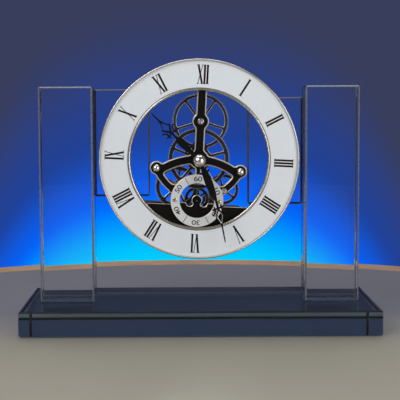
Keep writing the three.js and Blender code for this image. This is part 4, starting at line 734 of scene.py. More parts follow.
# %% [markdown]
# A flat part gets its thickness and its chamfers in one go: the outline is set in by the
# chamfer's width, and four rows of points make the front face, the chamfer, the wall and
# the chamfer behind. The chamfers take the second material, because a blackened plate is
# cut bright along its edges after plating. Where two moulded layers meet, the edge stays
# square, with a chamfer too small to see.

# %% Plates with cut edges
SQUARE = (0.02, 0.02)


def inset(loop, distance):
    """Moves an outline into its material by distance, with mitred corners."""
    out = []
    for k, point in enumerate(loop):
        a = (Vector(point) - Vector(loop[k - 1])).normalized()
        b = (Vector(loop[(k + 1) % len(loop)]) - Vector(point)).normalized()
        na, nb = Vector((-a.y, a.x)), Vector((-b.y, b.x))
        mitre = (na + nb) / max(1 + na.dot(nb), 0.35)
        out.append((point[0] + mitre.x * distance, point[1] + mitre.y * distance))
    return out


def walled(bm, rows, indices):
    """Joins rows of points, each (outline, depth), and gives the first and last row's edges."""
    rings = [[bm.verts.new((x, y, z)) for x, z in outline] for outline, y in rows]
    count = len(rings[0])
    for first, second, index in zip(rings, rings[1:], indices):
        for k in range(count):
            n = (k + 1) % count
            face = bm.faces.new((first[k], first[n], second[n], second[k]))
            face.material_index = index
    return [[bm.edges.get((ring[k], ring[(k + 1) % count])) for k in range(count)]
            for ring in (rings[0], rings[-1])]


def filled(bm, borders):
    """Closes the front and the rear inside their borders and leaves the windows open."""
    for edges, normal in zip(zip(*borders), ((0, -1, 0), (0, 1, 0))):
        bmesh.ops.triangle_fill(bm, use_beauty=True, use_dissolve=False, edges=sum(edges, []),
                                normal=normal)
    return bm


def plate(loops, rear, front, cut=(0.3, 0.25), rear_cut=None, bm=None):
    """A flat part with chamfers. Outer loops run anticlockwise, windows clockwise."""
    bm = bm or bmesh.new()
    width, depth = cut
    rear_width, rear_depth = rear_cut or cut
    return filled(bm, [
        walled(bm, ((inset(loop, width), front), (loop, front + depth),
                    (loop, rear - rear_depth), (inset(loop, rear_width), rear)), (1, 0, 1))
        for loop in loops])


def rims(bm, loops, rear, front):
    """As plate, with a chamfer, and maybe a material index, of its own for each outline."""
    borders = []
    for loop, (width, depth), *index in loops:
        inner = inset(loop, width)
        borders.append(walled(bm, ((inner, front), (loop, front + depth), (loop, rear - depth),
                                   (inner, rear)), (index or [1]) * 3))
    return filled(bm, borders)


def flat_piece(name, add, rear, front, materials, body, stands_for=(), cut=(), chamfer=(0.3, 0.25),
               rear_chamfer=None, ease=0.0, **place):
    loops = merged(add, cut)
    if ease:
        loops = [eased(loop, ease) for loop in loops]
    bm = plate(loops, rear, front, chamfer, rear_chamfer)
    return piece(name, bm, materials, body, stands_for, **place)


# %% [markdown]
# ## Roman figures
# The figures are printed, radial, with their feet towards the middle. They are tall and
# narrow: full strokes fall from the upper left, the other strokes are hairlines, and short
# hairline serifs close each stroke.

# %% Printed hours
FEET, HEADS = 56.2, 70.4
FULL, HAIR, SERIF = 1.45, 0.48, 0.42
STROKES = {
    "I": (2.12, [(0.0, 0.0, FULL)]),
    "V": (4.3, [(-1.62, 0.0, FULL), (1.62, 0.0, HAIR)]),
    "X": (4.5, [(-1.6, 1.6, FULL), (1.6, -1.6, HAIR)]),
}


def figure(text):
    """Outlines of one Roman figure, upright, with its middle at x = 0."""
    width = sum(STROKES[c][0] for c in text)
    x = -width / 2
    shapes = []
    for letter in text:
        advance, strokes = STROKES[letter]
        middle = x + advance / 2
        for top, foot, thick in strokes:
            shapes.append([(middle + foot - thick / 2, FEET), (middle + foot + thick / 2, FEET),
                           (middle + top + thick / 2, HEADS), (middle + top - thick / 2, HEADS)])
            ends = [(top, HEADS - SERIF)] + ([] if letter == "V" else [(foot, FEET)])
            for end, z in ends:
                half = thick / 2 + 0.5
                shapes.append(box(middle + end - half, middle + end + half, z, z + SERIF))
        if letter == "V":
            shapes.append(box(middle - 0.6, middle + 0.6, FEET, FEET + 0.5))
        x += advance
    return shapes


def turned_to(points, degrees):
    """Turns points clockwise about the dial's middle."""
    c, s = math.cos(math.radians(degrees)), math.sin(math.radians(degrees))
    return [(x * c + z * s, z * c - x * s) for x, z in points]


bm = bmesh.new()
for hour, text in enumerate(
        ["XII", "I", "II", "III", "IIII", "V", "VI", "VII", "VIII", "IX", "X", "XI"]):
    loops = [turned_to(loop, hour * 30) for loop in merged(figure(text))]
    plate(loops, PAINT + 0.05, PAINT - 0.06, (0.03, 0.03), bm=bm)
figures = piece("hour_figures", bm, [DIAL_PRINT, DIAL_PRINT], "frame")
print("hour figures:", len(figures.data.polygons), "faces")

# %% [markdown]
# ## The front bridge
# The bridge holds the front ends of the wheel arbors. The real one is stamped from plate,
# blackened, and then cut along every edge with a wide bright chamfer, which draws the light
# lines that make the skeleton readable. Its outline is a straight arm from the ring, two
# curved arms with bosses for the pillars, two bent lower arms, and a ring behind the seconds
# ring. The corners where arms meet are eased into flowing curves.

# %% Axes and the front bridge
BRIDGE_FRONT, BRIDGE_REAR, PLATE_REAR = -4.0, -2.0, 0.0
SECONDS, THIRD, TOP, RIGHT = (0.0, -31.2), (-15.587, -22.41), (0.0, 28.26), (20.0, -23.05)
PILLAR_X, PILLAR_Z = 31.4, -7.95
PILLARS = ((-PILLAR_X, PILLAR_Z), (PILLAR_X, PILLAR_Z))
AXES = ((0, 0), SECONDS, THIRD, RIGHT, TOP)
ARM_CENTRE, ARM_RADIUS = (0.0, -49.4), 49.0
RING_SCREW_X = 16.6


def curved_arm(width, steps=40):
    reach = math.degrees(math.asin(PILLAR_X / ARM_RADIUS)) + 1.0
    outer = arc(*ARM_CENTRE, ARM_RADIUS + width / 2, 90 - reach, 90 + reach, steps)
    return outer + arc(*ARM_CENTRE, ARM_RADIUS - width / 2, 90 + reach, 90 - reach, steps)


def lower_arm(side, width=5.8):
    line = [tuple(p) for p in curved((side * PILLAR_X, PILLAR_Z), (side * 27.5, -17.55),
                                     (side * 15.5, -26.0), 14)]
    return ribbon(line, width)


bridge_shapes = [
    box(-3.6, 3.6, 0, 55.4), box(-2.2, 2.2, -18, 0), curved_arm(6.9),
    lower_arm(-1), lower_arm(1), box(13.5, 21, -26, -19.5), box(-21, -13.5, -26, -19.5),
    circle(7.4, sides=64), circle(6.2, *TOP, 64), circle(5.1, *PILLARS[0]),
    circle(5.1, *PILLARS[1]), circle(19.3, *SECONDS, 120),
]
bridge_holes = [
    circle(13.5, *SECONDS, 96), circle(2.9, 0, 0, 32), circle(1.3, *TOP, 24),
    circle(1.3, *RIGHT, 24), circle(0.75, *THIRD, 20), circle(1.1, *PILLARS[0], 20),
    circle(1.1, *PILLARS[1], 20),
]
bridge = flat_piece("front_bridge_plate", bridge_shapes, BRIDGE_REAR, BRIDGE_FRONT,
                    [BLACKENED, CUT_EDGE], "frame", ["front_bridge"], bridge_holes,
                    (0.85, 0.7), (0.35, 0.3), 1.4)
print("front bridge:", len(bridge.data.polygons), "faces")

# %% [markdown]
# ## The bottom plate
# A dark crescent fills the lower part of the opening. Its upper edge rises into a round boss
# for the seconds arbor, with a small bay either side, and a bright cut edge follows all of it.

# %% Bottom plate and its posts
CRESCENT_RADIUS, CRESCENT_END = 58.3, 36.9
BAY, BAY_X, BAY_Z = 2.7, 5.2, -33.2
POST_RADIUS, POST_ANGLES = 49.3, (-56.6, -71.6, -103.8, -124.8)
crescent = arc(0, 0, CRESCENT_RADIUS, 180 + CRESCENT_END, 360 - CRESCENT_END, 80)
bottom_shapes = [crescent, box(-13.5, 13.5, -38, BAY_Z), circle(3.9, *SECONDS)]
for side in (-1, 1):
    seat = side * RING_SCREW_X
    bottom_shapes += [circle(2.3, seat, SECONDS[1], 24),
                      box(seat - 1.6, seat + 1.6, -36, SECONDS[1])]
bays = [circle(BAY, side * BAY_X, BAY_Z, 32) for side in (-1, 1)]
bays += [box(side * BAY_X - BAY, side * BAY_X + BAY, BAY_Z, -28) for side in (-1, 1)]
bottom_loops = merged([merged(bottom_shapes[:2] + bottom_shapes[3:], bays)[0],
                       circle(3.9, *SECONDS)], [circle(0.75, *SECONDS, 16)])
bm = plate([eased(loop, 0.8) for loop in bottom_loops], PLATE_REAR, BRIDGE_REAR, (0.5, 0.4))
for angle in POST_ANGLES:
    plate([circle(2.4, *polar(POST_RADIUS, angle), 24)], 9.0, -0.3, (0.2, 0.2), bm=bm)
bottom = piece("bottom_plate_crescent", bm, [BLACKENED, CUT_EDGE], "frame", ["bottom_plate"])
print("bottom plate:", len(bottom.data.polygons), "faces")

# %% [markdown]
# ## Wheels
# A clock wheel is a thin disc with its teeth cut first and its windows sawn out after, which
# leaves a rim, a hub and five spokes. The teeth here have root, flank and a rounded tip, with
# the same counts and phases as in the CAD, because the wheels must mesh. The faces are
# blackened and the edges cut bright.

# %% Wheel helpers
WHEEL_LAYERS = {1: 1.0, 2: 4.0, 3: 7.0}
WHEEL_THICKNESS = 1.0


def toothed(teeth, module, phase):
    """The outline of a gear. Phase is the angle of one tooth's middle, in degrees."""
    pitch = teeth * module / 2
    tip, root = pitch + 0.65 * module, pitch - 1.35 * module
    step = 360 / teeth
    shape = ((-0.5, root), (-0.3, root), (-0.24, pitch - 0.3 * module), (-0.12, tip - 0.1 * module),
             (0.0, tip), (0.12, tip - 0.1 * module), (0.24, pitch - 0.3 * module), (0.3, root))
    points = []
    for k in range(teeth):
        for share, radius in shape:
            angle = math.radians(phase + step * (k + share))
            points.append((radius * math.cos(angle), radius * math.sin(angle)))
    return points


def windows(inner, outer, spoke, first, count=5):
    """The openings between the spokes, with eased corners."""
    out = []
    for k in range(count):
        start, end = first + 360 * k / count, first + 360 * (k + 1) / count
        wide = math.degrees(math.asin(spoke / 2 / outer))
        narrow = math.degrees(math.asin(spoke / 2 / inner))
        loop = arc(0, 0, outer, start + wide, end - wide, 22)
        loop += arc(0, 0, inner, end - narrow, start + narrow, 8)
        out.append(eased(loop, min(1.4, outer * 0.09))[::-1])
    return out


def wheel(name, body, at, layer, teeth, module, phase, rim, hub, spoke, first, stands_for,
          bore=1.25):
    front = WHEEL_LAYERS[layer]
    pitch = teeth * module / 2
    bm = bmesh.new()
    cut = 0.16 * module / 0.4
    outline = toothed(teeth, module, phase)
    body_loops = windows(hub, pitch - rim, spoke, first)
    flat = [(outline, (cut, cut))] + [(loop, (0.34, 0.24)) for loop in body_loops]
    flat.append((circle(bore, 0, 0, 32)[::-1], (0.15, 0.15)))
    rims(bm, flat, front + WHEEL_THICKNESS, front)
    return piece(name, bm, [WHEEL_FACE, WHEEL_EDGE], body, stands_for, at=at, sharp=26)


# %% [markdown]
# Each wheel has to stand with its teeth in its neighbour's gaps. The angle that does it
# follows from the neighbour's: the tooth on one side of the line between the axes meets the
# gap on the other, and one turn of the line rolls the two by their tooth ratio. Each row of
# the table gives a wheel's name, body and place, then its layer, teeth, module and phase, the
# width of its rim, the radius of its hub, and its spokes' width and first angle.

# %% The five spoked wheels


def bearing(a, b):
    return math.degrees(math.atan2(b[1] - a[1], b[0] - a[0]))


def mesh_phase(phase, teeth, angle, other):
    return angle + 180 - teeth / other * (phase - angle) + 180 / other


third_phase = bearing(THIRD, SECONDS)
right_phase = mesh_phase(30.0, 48, bearing(SECONDS, RIGHT), 60)
TRAIN = (
    ("centre", "minute", (0, 0), 1, 120, 0.3845, 90.0, 3.4, 9.4, 2.2, 16.6),
    ("third", "third", THIRD, 2, 66, 0.4972, third_phase, 3.6, 4.6, 2.0, 226.6),
    ("seconds", "seconds", SECONDS, 3, 48, 0.4, 30.0, 2.8, 3.4, 1.8, 182.6),
    ("top", "top", TOP, 2, 80, 0.53, 0.0, 2.9, 4.4, 1.9, 57.0),
    ("right", "right", RIGHT, 3, 60, 0.4, right_phase, 2.8, 3.6, 1.8, 325.0),
)
for name, body, at, *numbers in TRAIN:
    made = wheel(name + "_wheel_cut", body, at, *numbers, [name + "_wheel"])
    print(made.name, len(made.data.polygons), "faces")

# %% [markdown]
# ## Bushes, nuts, balls and screws
# The pillars end in front in ball nuts, and the hands are held by a ball cap: chrome, highly
# polished, on short collars. Steel bushes show where the upper and right arbors turn. The
# seconds ring is held by two domed brass screws.

# %% Turned fittings


def ball(radius, collar, height, seat, stem=0.0, stem_end=0.0, steps=18):
    """Profile of a ball nut, from its rear to its front."""
    neck = collar * 0.86
    drop = math.sqrt(radius ** 2 - neck ** 2)
    middle = seat - height - drop
    start = math.acos(drop / radius)
    profile = [(0, stem_end if stem else seat)]
    if stem:
        profile += [(stem, stem_end), (stem, seat)]
    profile += [(collar - 0.25, seat), (collar, seat - 0.2), (collar, seat - height * 0.7),
                (neck, seat - height)]
    for k in range(1, steps):
        angle = start + (math.pi - start) * k / steps
        profile.append((radius * math.sin(angle), middle + radius * math.cos(angle)))
    return profile + [(0, middle - radius)]


def fitting(name, profile, material, body, at, stands_for, steps=48, **place):
    return piece(name, lathe(profile, steps), [material], body, stands_for, at=at, **place)


for side, at in zip(("left", "right"), PILLARS):
    fitting(side + "_ball", ball(2.8, 2.0, 0.8, -4.0, 1.0, 0.0), CHROME, "frame", at,
            [side + "_ball_nut"], 64)
    fitting(side + "_post", [(1.15, -2.0), (2.0, -2.0), (2.2, -1.8), (2.2, 3.4), (1.9, 3.7),
                             (1.9, 4.3), (2.2, 4.6), (2.2, 9.8), (2.0, 10.0), (1.15, 10.0)],
            STEEL, "frame", at, [side + "_pillar"])
fitting("hand_ball", ball(4.62, 2.25, 1.0, -14.8), CHROME, "minute", (0, 0), ["hand_cap"], 72)
for name, flange, at in (("top", 2.35, TOP), ("right", 1.75, RIGHT)):
    profile = rounded([(0.6, -2.0), (1.2, -2.0), (1.2, -4.02), (flange, -4.02),
                       (flange, -4.25), (flange - 0.25, -4.4), (1.25, -4.4), (0.85, -4.1),
                       (0.6, -4.1)], 0.1, 3, True)
    piece(name + "_bush_turned", lathe(profile, 48, True), [STEEL], "frame",
          [name + "_bush"], at=at)
print("fittings turned")

# %% [markdown]
# A slotted screw head is a turned dome with a sawn slot. The slot is a boolean cut with a thin
# box, which is quick and exact on a mesh this small.

# %% Slotted screws


def slotted(name, profile, width, depth, angle, material, body, at, stands_for=(), facing=-1):
    bm = lathe(profile, 40)
    head = piece(name, bm, [material], body, stands_for, at=at, turn=angle)
    front = min(y for r, y in profile) if facing < 0 else max(y for r, y in profile)
    radius = max(r for r, y in profile) + 0.5
    low = front - 1.0 if facing < 0 else front - depth
    tool_bm = block((-radius, low, -width / 2), (radius, low + depth + 1.0, width / 2), 0.02, 0.01)
    tool = piece(name + "_saw", tool_bm, [material], body, at=at, turn=angle)
    cutter = head.modifiers.new("slot", "BOOLEAN")
    cutter.operation = "DIFFERENCE"
    cutter.solver = "EXACT"
    cutter.object = tool
    bpy.context.view_layer.update()
    result = bpy.data.meshes.new_from_object(
        head.evaluated_get(bpy.context.evaluated_depsgraph_get()))
    head.modifiers.clear()
    head.data = result
    head.data.set_sharp_from_angle(angle=math.radians(32))
    weight_normals(head)
    bpy.data.objects.remove(tool)
    return head


dome = [(0, -4.9)] + [(0.7, -4.9), (0.7, -5.0), (1.5, -5.0), (1.6, -5.1), (1.6, -5.3)]
dome += [(1.6 * math.cos(math.radians(a)), -5.3 - 0.55 * math.sin(math.radians(a)))
         for a in (18, 36, 54, 72)] + [(0, -5.85)]
for side, x, angle in (("left", -RING_SCREW_X, 28), ("right", RING_SCREW_X, -52)):
    slotted(side + "_ring_screw_brass", dome, 0.42, 0.38, angle, BRASS, "frame",
            (x, SECONDS[1]), [side + "_ring_screw"])
pan = [(0, 7.2), (1.0, 7.2), (1.0, 12.0), (1.9, 12.0), (2.0, 12.1), (2.0, 12.7), (1.75, 13.0),
       (0, 13.1)]
for side, at in zip(("left", "right"), PILLARS):
    slotted(side + "_rear_screw", pan, 0.5, 0.5, 15, STEEL, "frame", at,
            [side + "_pillar_screw"], 1)
print("slotted screws: 4")

# %% [markdown]
# ## The seconds ring
# It is a ring of satin-brushed metal with the tens printed round it, their heads outwards, and
# short strokes at the fives that the screws leave free. Blender's own text objects give plain
# sans-serif figures, which become meshes and join into one print.

# %% Seconds ring and its print
ring_loops = merged([circle(19.8, *SECONDS, 144)],
                    [circle(13.0, *SECONDS, 112), circle(0.9, -RING_SCREW_X, SECONDS[1], 20),
                     circle(0.9, RING_SCREW_X, SECONDS[1], 20)])
ring_loops = [[(x, z - SECONDS[1]) for x, z in loop] for loop in ring_loops]
piece("seconds_ring_satin", plate(ring_loops, -4.0, -5.0, (0.28, 0.22)),
      [SATIN_SILVER, CUT_EDGE], "frame", ["seconds_ring"], at=SECONDS)


def printed(text, size, radius, degrees, target):
    """Adds raised text to a bmesh, upright at a radius, turned clockwise about the middle."""
    curve = bpy.data.curves.new("text", "FONT")
    curve.body = text
    curve.size = size
    curve.align_x = "CENTER"
    curve.align_y = "CENTER"
    curve.extrude = 0.02
    curve.offset = 0.035
    curve.space_character = 0.92
    holder = bpy.data.objects.new("text", curve)
    scene.collection.objects.link(holder)
    bpy.context.view_layer.update()
    mesh = bpy.data.meshes.new_from_object(
        holder.evaluated_get(bpy.context.evaluated_depsgraph_get()))
    mesh.transform(Matrix.Rotation(math.radians(degrees), 4, "Y")
                   @ Matrix.Translation((0, -5.01, radius))
                   @ Matrix.Rotation(math.radians(90), 4, "X") @ Matrix.Diagonal((1.36, 1, 1, 1)))
    target.from_mesh(mesh)
    bpy.data.objects.remove(holder)


bm = bmesh.new()
for k, text in enumerate(("60", "10", "20", "30", "40", "50")):
    printed(text, 5.1, 16.3, 60 * k, bm)
for degrees in (30, 150, 210, 330):
    plate([turned_to(box(-0.22, 0.22, 13.6, 19.2), degrees)], -4.95, -5.03, SQUARE, bm=bm)
seconds_print = piece("seconds_print", bm, [RING_PRINT, RING_PRINT], "frame", at=SECONDS)
print("seconds print:", len(seconds_print.data.polygons), "faces")

# %% [markdown]
# ## The hands
# The hour and minute hands are pierced, after an old pattern: a long leaf, a crossbar with a
# curl and two stubs either side, an open kite, and a needle. They are thin blackened metal
# with softly rounded edges. The minute hand's outer part was bent a little when it was set.
# Smooth outlines come from a curve drawn through a few points. A short steel post behind
# the front bridge carries the motion wheel, which drives the hour hand.

# %% Hand outlines
HAND_THICKNESS = 0.8


def smooth_through(points, steps=6):
    """A smooth line that passes through every point, each piece a cubic in t."""
    out = []
    for k in range(len(points) - 1):
        p = [Vector(points[max(min(k + j, len(points) - 1), 0)]) for j in (-1, 0, 1, 2)]
        for step in range(steps):
            t = step / steps
            out.append(tuple(0.5 * (2 * p[1] + (p[2] - p[0]) * t
                                    + (2 * p[0] - 5 * p[1] + 4 * p[2] - p[3]) * t * t
                                    + (3 * p[1] - p[0] - 3 * p[2] + p[3]) * t ** 3)))
    return out + [tuple(points[-1])]


def both(half):
    """Closes a right half, drawn from the hub to the tip, with its mirror image."""
    return half + [(-x, z) for x, z in half[::-1] if x > 1e-6]


def hand_shapes(length, eye, bar, belly, belly_at, neck_at, neck, kite, kite_at, width, curl):
    leaf = [(1.5, 0), (1.6, bar - 1.6)]
    leaf += [(belly * 0.40, bar + 1.2)] + smooth_through(
        [(belly * 0.40, bar + 1.2), (belly * 0.47, belly_at - 2.5), (belly * 0.5, belly_at),
         (belly * 0.44, belly_at + 4), (neck * 0.62, neck_at - 2.6), (neck / 2, neck_at)])[1:]
    leaf += [(neck / 2, kite_at + 0.5)]
    bow = ribbon(smooth_through([(-3.9, bar - 0.7), (-2.4, bar + 0.25), (0, bar + 0.5),
                                 (2.4, bar + 0.25), (3.9, bar - 0.7)], 5), 1.4)
    outer = smooth_through([(0.45, kite_at - 0.4), (width * 0.25, kite_at + kite * 0.2),
                            (width * 0.5, kite_at + kite * 0.44)])
    outer += smooth_through([(width * 0.5, kite_at + kite * 0.44),
                             (width * 0.24, kite_at + kite * 0.62), (0.6, kite_at + kite)])[1:]
    needle = [(0.62, kite_at + kite - 1.0), (0.42, length - 1.2), (0.2, length - 0.1), (0, length)]
    shapes = [circle(eye, 0, 0, 40), both(leaf), bow, both(outer), both(needle)]
    for side in (-1, 1):
        def place(points):
            return [(side * x * curl, kite_at + z * curl) for x, z in points]
        shapes.append(ribbon(place([(0, 0.2), (1.6, -0.2), (3.07, -0.35), (5.2, -0.4)]), 1.2))
        shapes.append(ribbon(smooth_through(place(
            [(2.9, -2.6), (3.07, -0.35), (3.1, 1.5), (3.9, 3.0), (5.1, 3.7), (6.1, 3.7)])), 1.15))
    window = [(0, kite_at + 2.2), (width * 0.17, kite_at + kite * 0.32),
              (width * 0.5 - 1.6, kite_at + kite * 0.44), (width * 0.17, kite_at + kite * 0.56),
              (0, kite_at + kite - 2.7)]
    return shapes, both(window)


def bent(loop, start, slope, growth):
    """The outline with what lies past the start bent a little clockwise."""
    past = [max(z - start, 0) for x, z in loop]
    return [(x + slope * p + growth * p * p, z) for (x, z), p in zip(loop, past)]


def hand(name, body, bore, front, angle, stands_for, edge, bend=(0, 0, 0), **sizes):
    shapes, window = hand_shapes(**sizes)
    loops = [bent(eased(loop, 0.35, 30), *bend)
             for loop in merged(shapes, [window, circle(bore, 0, 0, 28)])]
    spans = [max(z for x, z in loop) for loop in loops]
    flat = [(loop, (0.42, 0.34), 1) if sizes["kite_at"] < span < max(spans) else
            (loop, (0.18, 0.18), 0) for loop, span in zip(loops, spans)]
    bm = rims(bmesh.new(), flat, front + HAND_THICKNESS, front)
    return piece(name, bm, [HAND_BLACK, edge], body, stands_for, turn=angle, sharp=50)


hour = hand("hour_hand_pierced", "hour", 2.3, -11.3, 311.5, ["hour_hand"], HAND_BLACK,
            length=49.3, eye=4.6, bar=10.8, belly=5.3, belly_at=17.5, neck_at=26.0, neck=1.5,
            kite=13.2, kite_at=28.4, width=8.6, curl=0.98)
minute = hand("minute_hand_pierced", "minute", 1.2, -14.8, 154.3, ["minute_hand"], HAND_EDGE,
              bend=(30, 0.125, 0.0016), length=63.8, eye=3.6, bar=9.6, belly=5.8,
              belly_at=18.5, neck_at=33.4, neck=1.8, kite=13.4, kite_at=38.3, width=6.7,
              curl=0.88)
pointer = [(-0.32, -4.2), (0.32, -4.2), (0.42, 0), (0.2, 12.2), (-0.2, 12.2), (-0.42, 0)]
flat_piece("seconds_hand_plain", [circle(1.9, 0, 0, 36), pointer], -4.3, -4.8, [HAND_BLACK] * 2,
           "seconds", ["seconds_hand"], [circle(0.45, 0, 0, 16)], (0.12, 0.12), at=SECONDS,
           turn=183.0)
flat_piece("motion_post", [circle(0.5, 0, 0, 24)], 0.2, -3.0, [STEEL, STEEL], "frame",
           chamfer=(0.1, 0.1), at=(0, 8))
print("hands:", hour.name, minute.name)

# %% [markdown]
# ## The rear bridge
# Behind the wheels a plainer bridge holds the rear ends of the arbors. It is blackened plate
# with small cut edges, and each pivot runs in a pressed brass bush with an oil sink.

# %% Rear bridge and its pivot bushes
REAR_FRONT, REAR_BACK = 10.0, 12.0


def rear_arm(side, end, width=3.7):
    return ribbon([(side * PILLAR_X, PILLAR_Z), (side * 26.5, -17.0), end], width)


rear_shapes = [box(-2, 2, SECONDS[1], TOP[1]), curved_arm(4.6), rear_arm(-1, THIRD),
               rear_arm(1, RIGHT)]
rear_shapes += [circle(3.6, *at) for at in PILLARS] + [circle(3.4, *at) for at in AXES]
rear_holes = [circle(1.3, *at, 24) for at in AXES + PILLARS]
flat_piece("rear_bridge_plate", rear_shapes, REAR_BACK, REAR_FRONT, [BLACKENED, CUT_EDGE], "frame",
           ["rear_bridge"], rear_holes, (0.3, 0.25), (0.5, 0.45), 1.2)
for name, at in zip(("centre", "seconds", "third", "right", "top"), AXES):
    bore = 1.0 if name == "centre" else 0.65
    bush = rounded([(bore, 10.1), (1.28, 10.1), (1.28, 12.08), (1.1, 12.08), (bore, 11.7)], 0.08, 2,
                   True)
    piece(name + "_pivot_bush", lathe(bush, 32, True), [BRASS], "frame", at=at)
print("rear bridge bushes: 5")

# %% [markdown]
# ## The dial carrier
# The carrier is a moulded ring behind the dial. Moulded parts are kept thin so that they cool
# evenly, so its back has a row of shallow pockets. Four pan-head screws clamp the ring.

# %% Carrier ring with moulded pockets
CARRIER_SCREWS = (82.5, 97.5, 262.5, 277.5)


def carrier_body():
    arm_seat = box(-3.9, 3.9, 7.4, 55.7)
    chord = math.degrees(math.asin(34.7 / 58.7))
    plate_seat = arc(0, 0, 58.7, 180 + chord, 360 - chord, 80)
    rim, bore = circle(72.65, sides=200), circle(52.45, sides=180)
    bm = bmesh.new()
    plate(merged([rim], [bore, arm_seat]), -2.0, -4.0, (0.1, 0.1), bm=bm)
    plate(merged([rim], [bore, plate_seat]), 0.0, -2.0, SQUARE, bm=bm)
    pockets = []
    for k in range(24):
        middle = 7.5 + 15 * k
        if min(abs(middle - side) for side in CARRIER_SCREWS) > 1:
            pocket = arc(0, 0, 70, middle - 5.9, middle + 5.9, 8)
            pocket += arc(0, 0, 60.6, middle + 5.6, middle - 5.6, 8)
            pockets.append(eased(pocket, 1.2))
    plate(merged([rim], [bore] + pockets), 2.0, 0.0, (0.25, 0.2), bm=bm)
    return bm


piece("carrier_ring_moulded", carrier_body(), [MOULDED, MOULDED], "frame", ["dial_carrier"])
small_pan = [(0, 1.7), (1.5, 1.7), (1.9, 1.75), (1.9, 2.5), (1.6, 2.9), (0, 3.0)]
for k, angle in enumerate(CARRIER_SCREWS):
    slotted("carrier_screw_%d" % (k + 1), small_pan, 0.45, 0.45, 40 * k, STEEL, "frame",
            polar(65.5, angle), (), 1)
print("carrier screws: 4")

# %% [markdown]
# ## The motor
# The quartz motor is a flat moulded case behind the bottom plate, open to the back and closed
# by a cover. A raised frame stiffens the cover, and two small holes let the wheel pivots
# through, as on the real kind.

# %% Motor case and cover
CASE = [(5.1, -29.65), (5.1, -55.95), (33.95, -55.95), (33.95, -36.45), (18.95, -36.45),
        (18.95, -29.65)]
DRIVE, ROTOR = (10.524, -35.03), (12.774, -38.927)


def cup(bm, outer, wall, front, floor, rim, ease=1.6, holes=()):
    """A moulded box, open to the back: a floor plate and walls that stand on it."""
    border = eased(outer, ease)
    inner = eased(inset(outer, wall), ease * 0.6)
    plate(merged([border], holes), floor, front, (0.25, 0.25), SQUARE, bm=bm)
    plate(merged([border], [inner]), rim, floor, SQUARE, (0.2, 0.2), bm=bm)
    return bm


case_bm = cup(bmesh.new(), CASE, 1.2, 9.0, 10.2, 18.0, holes=[circle(1.0, *DRIVE, 20)])
piece("motor_case_moulded", case_bm, [MOULDED, MOULDED], "frame", ["motor_case"])
cover_edge = eased(CASE, 1.6)
bm = plate(merged([cover_edge], [circle(0.7, *DRIVE, 20), circle(0.7, *ROTOR, 20)]), 19.0, 18.02,
           (0.2, 0.2))
frame_outer, frame_inner = eased(inset(CASE, 1.4), 1.2), eased(inset(CASE, 2.4), 1.0)
plate(merged([frame_outer], [frame_inner]), 19.2, 18.9, SQUARE, (0.15, 0.15), bm=bm)
for at in (DRIVE, ROTOR):
    plate(merged([circle(1.5, *at, 28)], [circle(0.7, *at, 20)]), 19.2, 18.9, SQUARE,
          (0.12, 0.12), bm=bm)
for z in (-43.6, -46.0, -48.4, -50.8):
    plate([eased(box(19.0, 30.0, z - 0.5, z + 0.5), 0.45)], 19.2, 18.9, SQUARE, (0.12, 0.12),
          bm=bm)
piece("motor_cover_moulded", bm, [MOULDED, MOULDED], "frame", ["motor_cover"])
print("motor case and cover moulded")

# %% [markdown]
# ## Battery tray and cell
# The tray beside the motor takes one AA cell between a cone spring and a contact plate. The
# cell has a steel can with rolled shoulders, a printed jacket and an insulating ring at the
# small end. Nothing is printed on the jacket but a coloured band.

# %% Tray, cell and contacts
JACKET = finish("printed_jacket", "cell_jacket", (0.045, 0.115, 0.300), 0.1, 0.3, "even",
                (500, 500, 500), 0.08, 0.06, 0.01, Coat_Weight=0.4)
BAND = finish("printed_band", "cell_jacket", (0.62, 0.50, 0.30), 0.6, 0.32, "even",
              (700, 700, 700), 0.06, 0.06, 0.01)
CELL_Z, CELL_Y, CELL_START = -46.7, 17.7, -47.85
tray = [(4.55, -38.05), (-52.9, -38.05), (-52.9, -55.35), (4.55, -55.35)]
tray_bm = bmesh.new()
tray_edge = eased(tray, 1.0)
plate(merged([tray_edge]), 10.2, 9.0, (0.3, 0.3), SQUARE, bm=tray_bm)
plate(merged([tray_edge], [eased(inset(tray, 1.2), 0.6)]), 25.2, 10.2, SQUARE, (0.2, 0.2),
      bm=tray_bm)
piece("battery_tray_moulded", tray_bm, [MOULDED, MOULDED], "frame", ["battery_tray"])


def along_x(bm, x):
    """Lays a turned piece, whose axis is the depth axis, along x on the cell's axis."""
    turn = Matrix.Rotation(math.radians(-90), 4, "Z")
    bmesh.ops.transform(bm, matrix=Matrix.Translation((x, CELL_Y, CELL_Z)) @ turn, verts=bm.verts)
    return bm


can = rounded([(0, 0), (6.2, 0), (7.1, 0.5), (7.1, 49.0), (5.6, 49.1), (2.9, 49.1)], 0.4, 3)
can += rounded([(2.55, 49.15), (2.55, 50.45), (0, 50.5)], 0.3, 3)
piece("cell_can", along_x(lathe(can, 64), CELL_START), [STEEL], "frame", ["battery_cell"])
for name, material, start, end in (("cell_jacket_sleeve", JACKET, 0.35, 34.0),
                                   ("cell_jacket_band", BAND, 34.0, 48.7)):
    sleeve = rounded([(7.12, start), (7.24, start), (7.24, end), (7.12, end)], 0.05, 2, True)
    piece(name, along_x(lathe(sleeve, 64, True), CELL_START), [material], "frame")


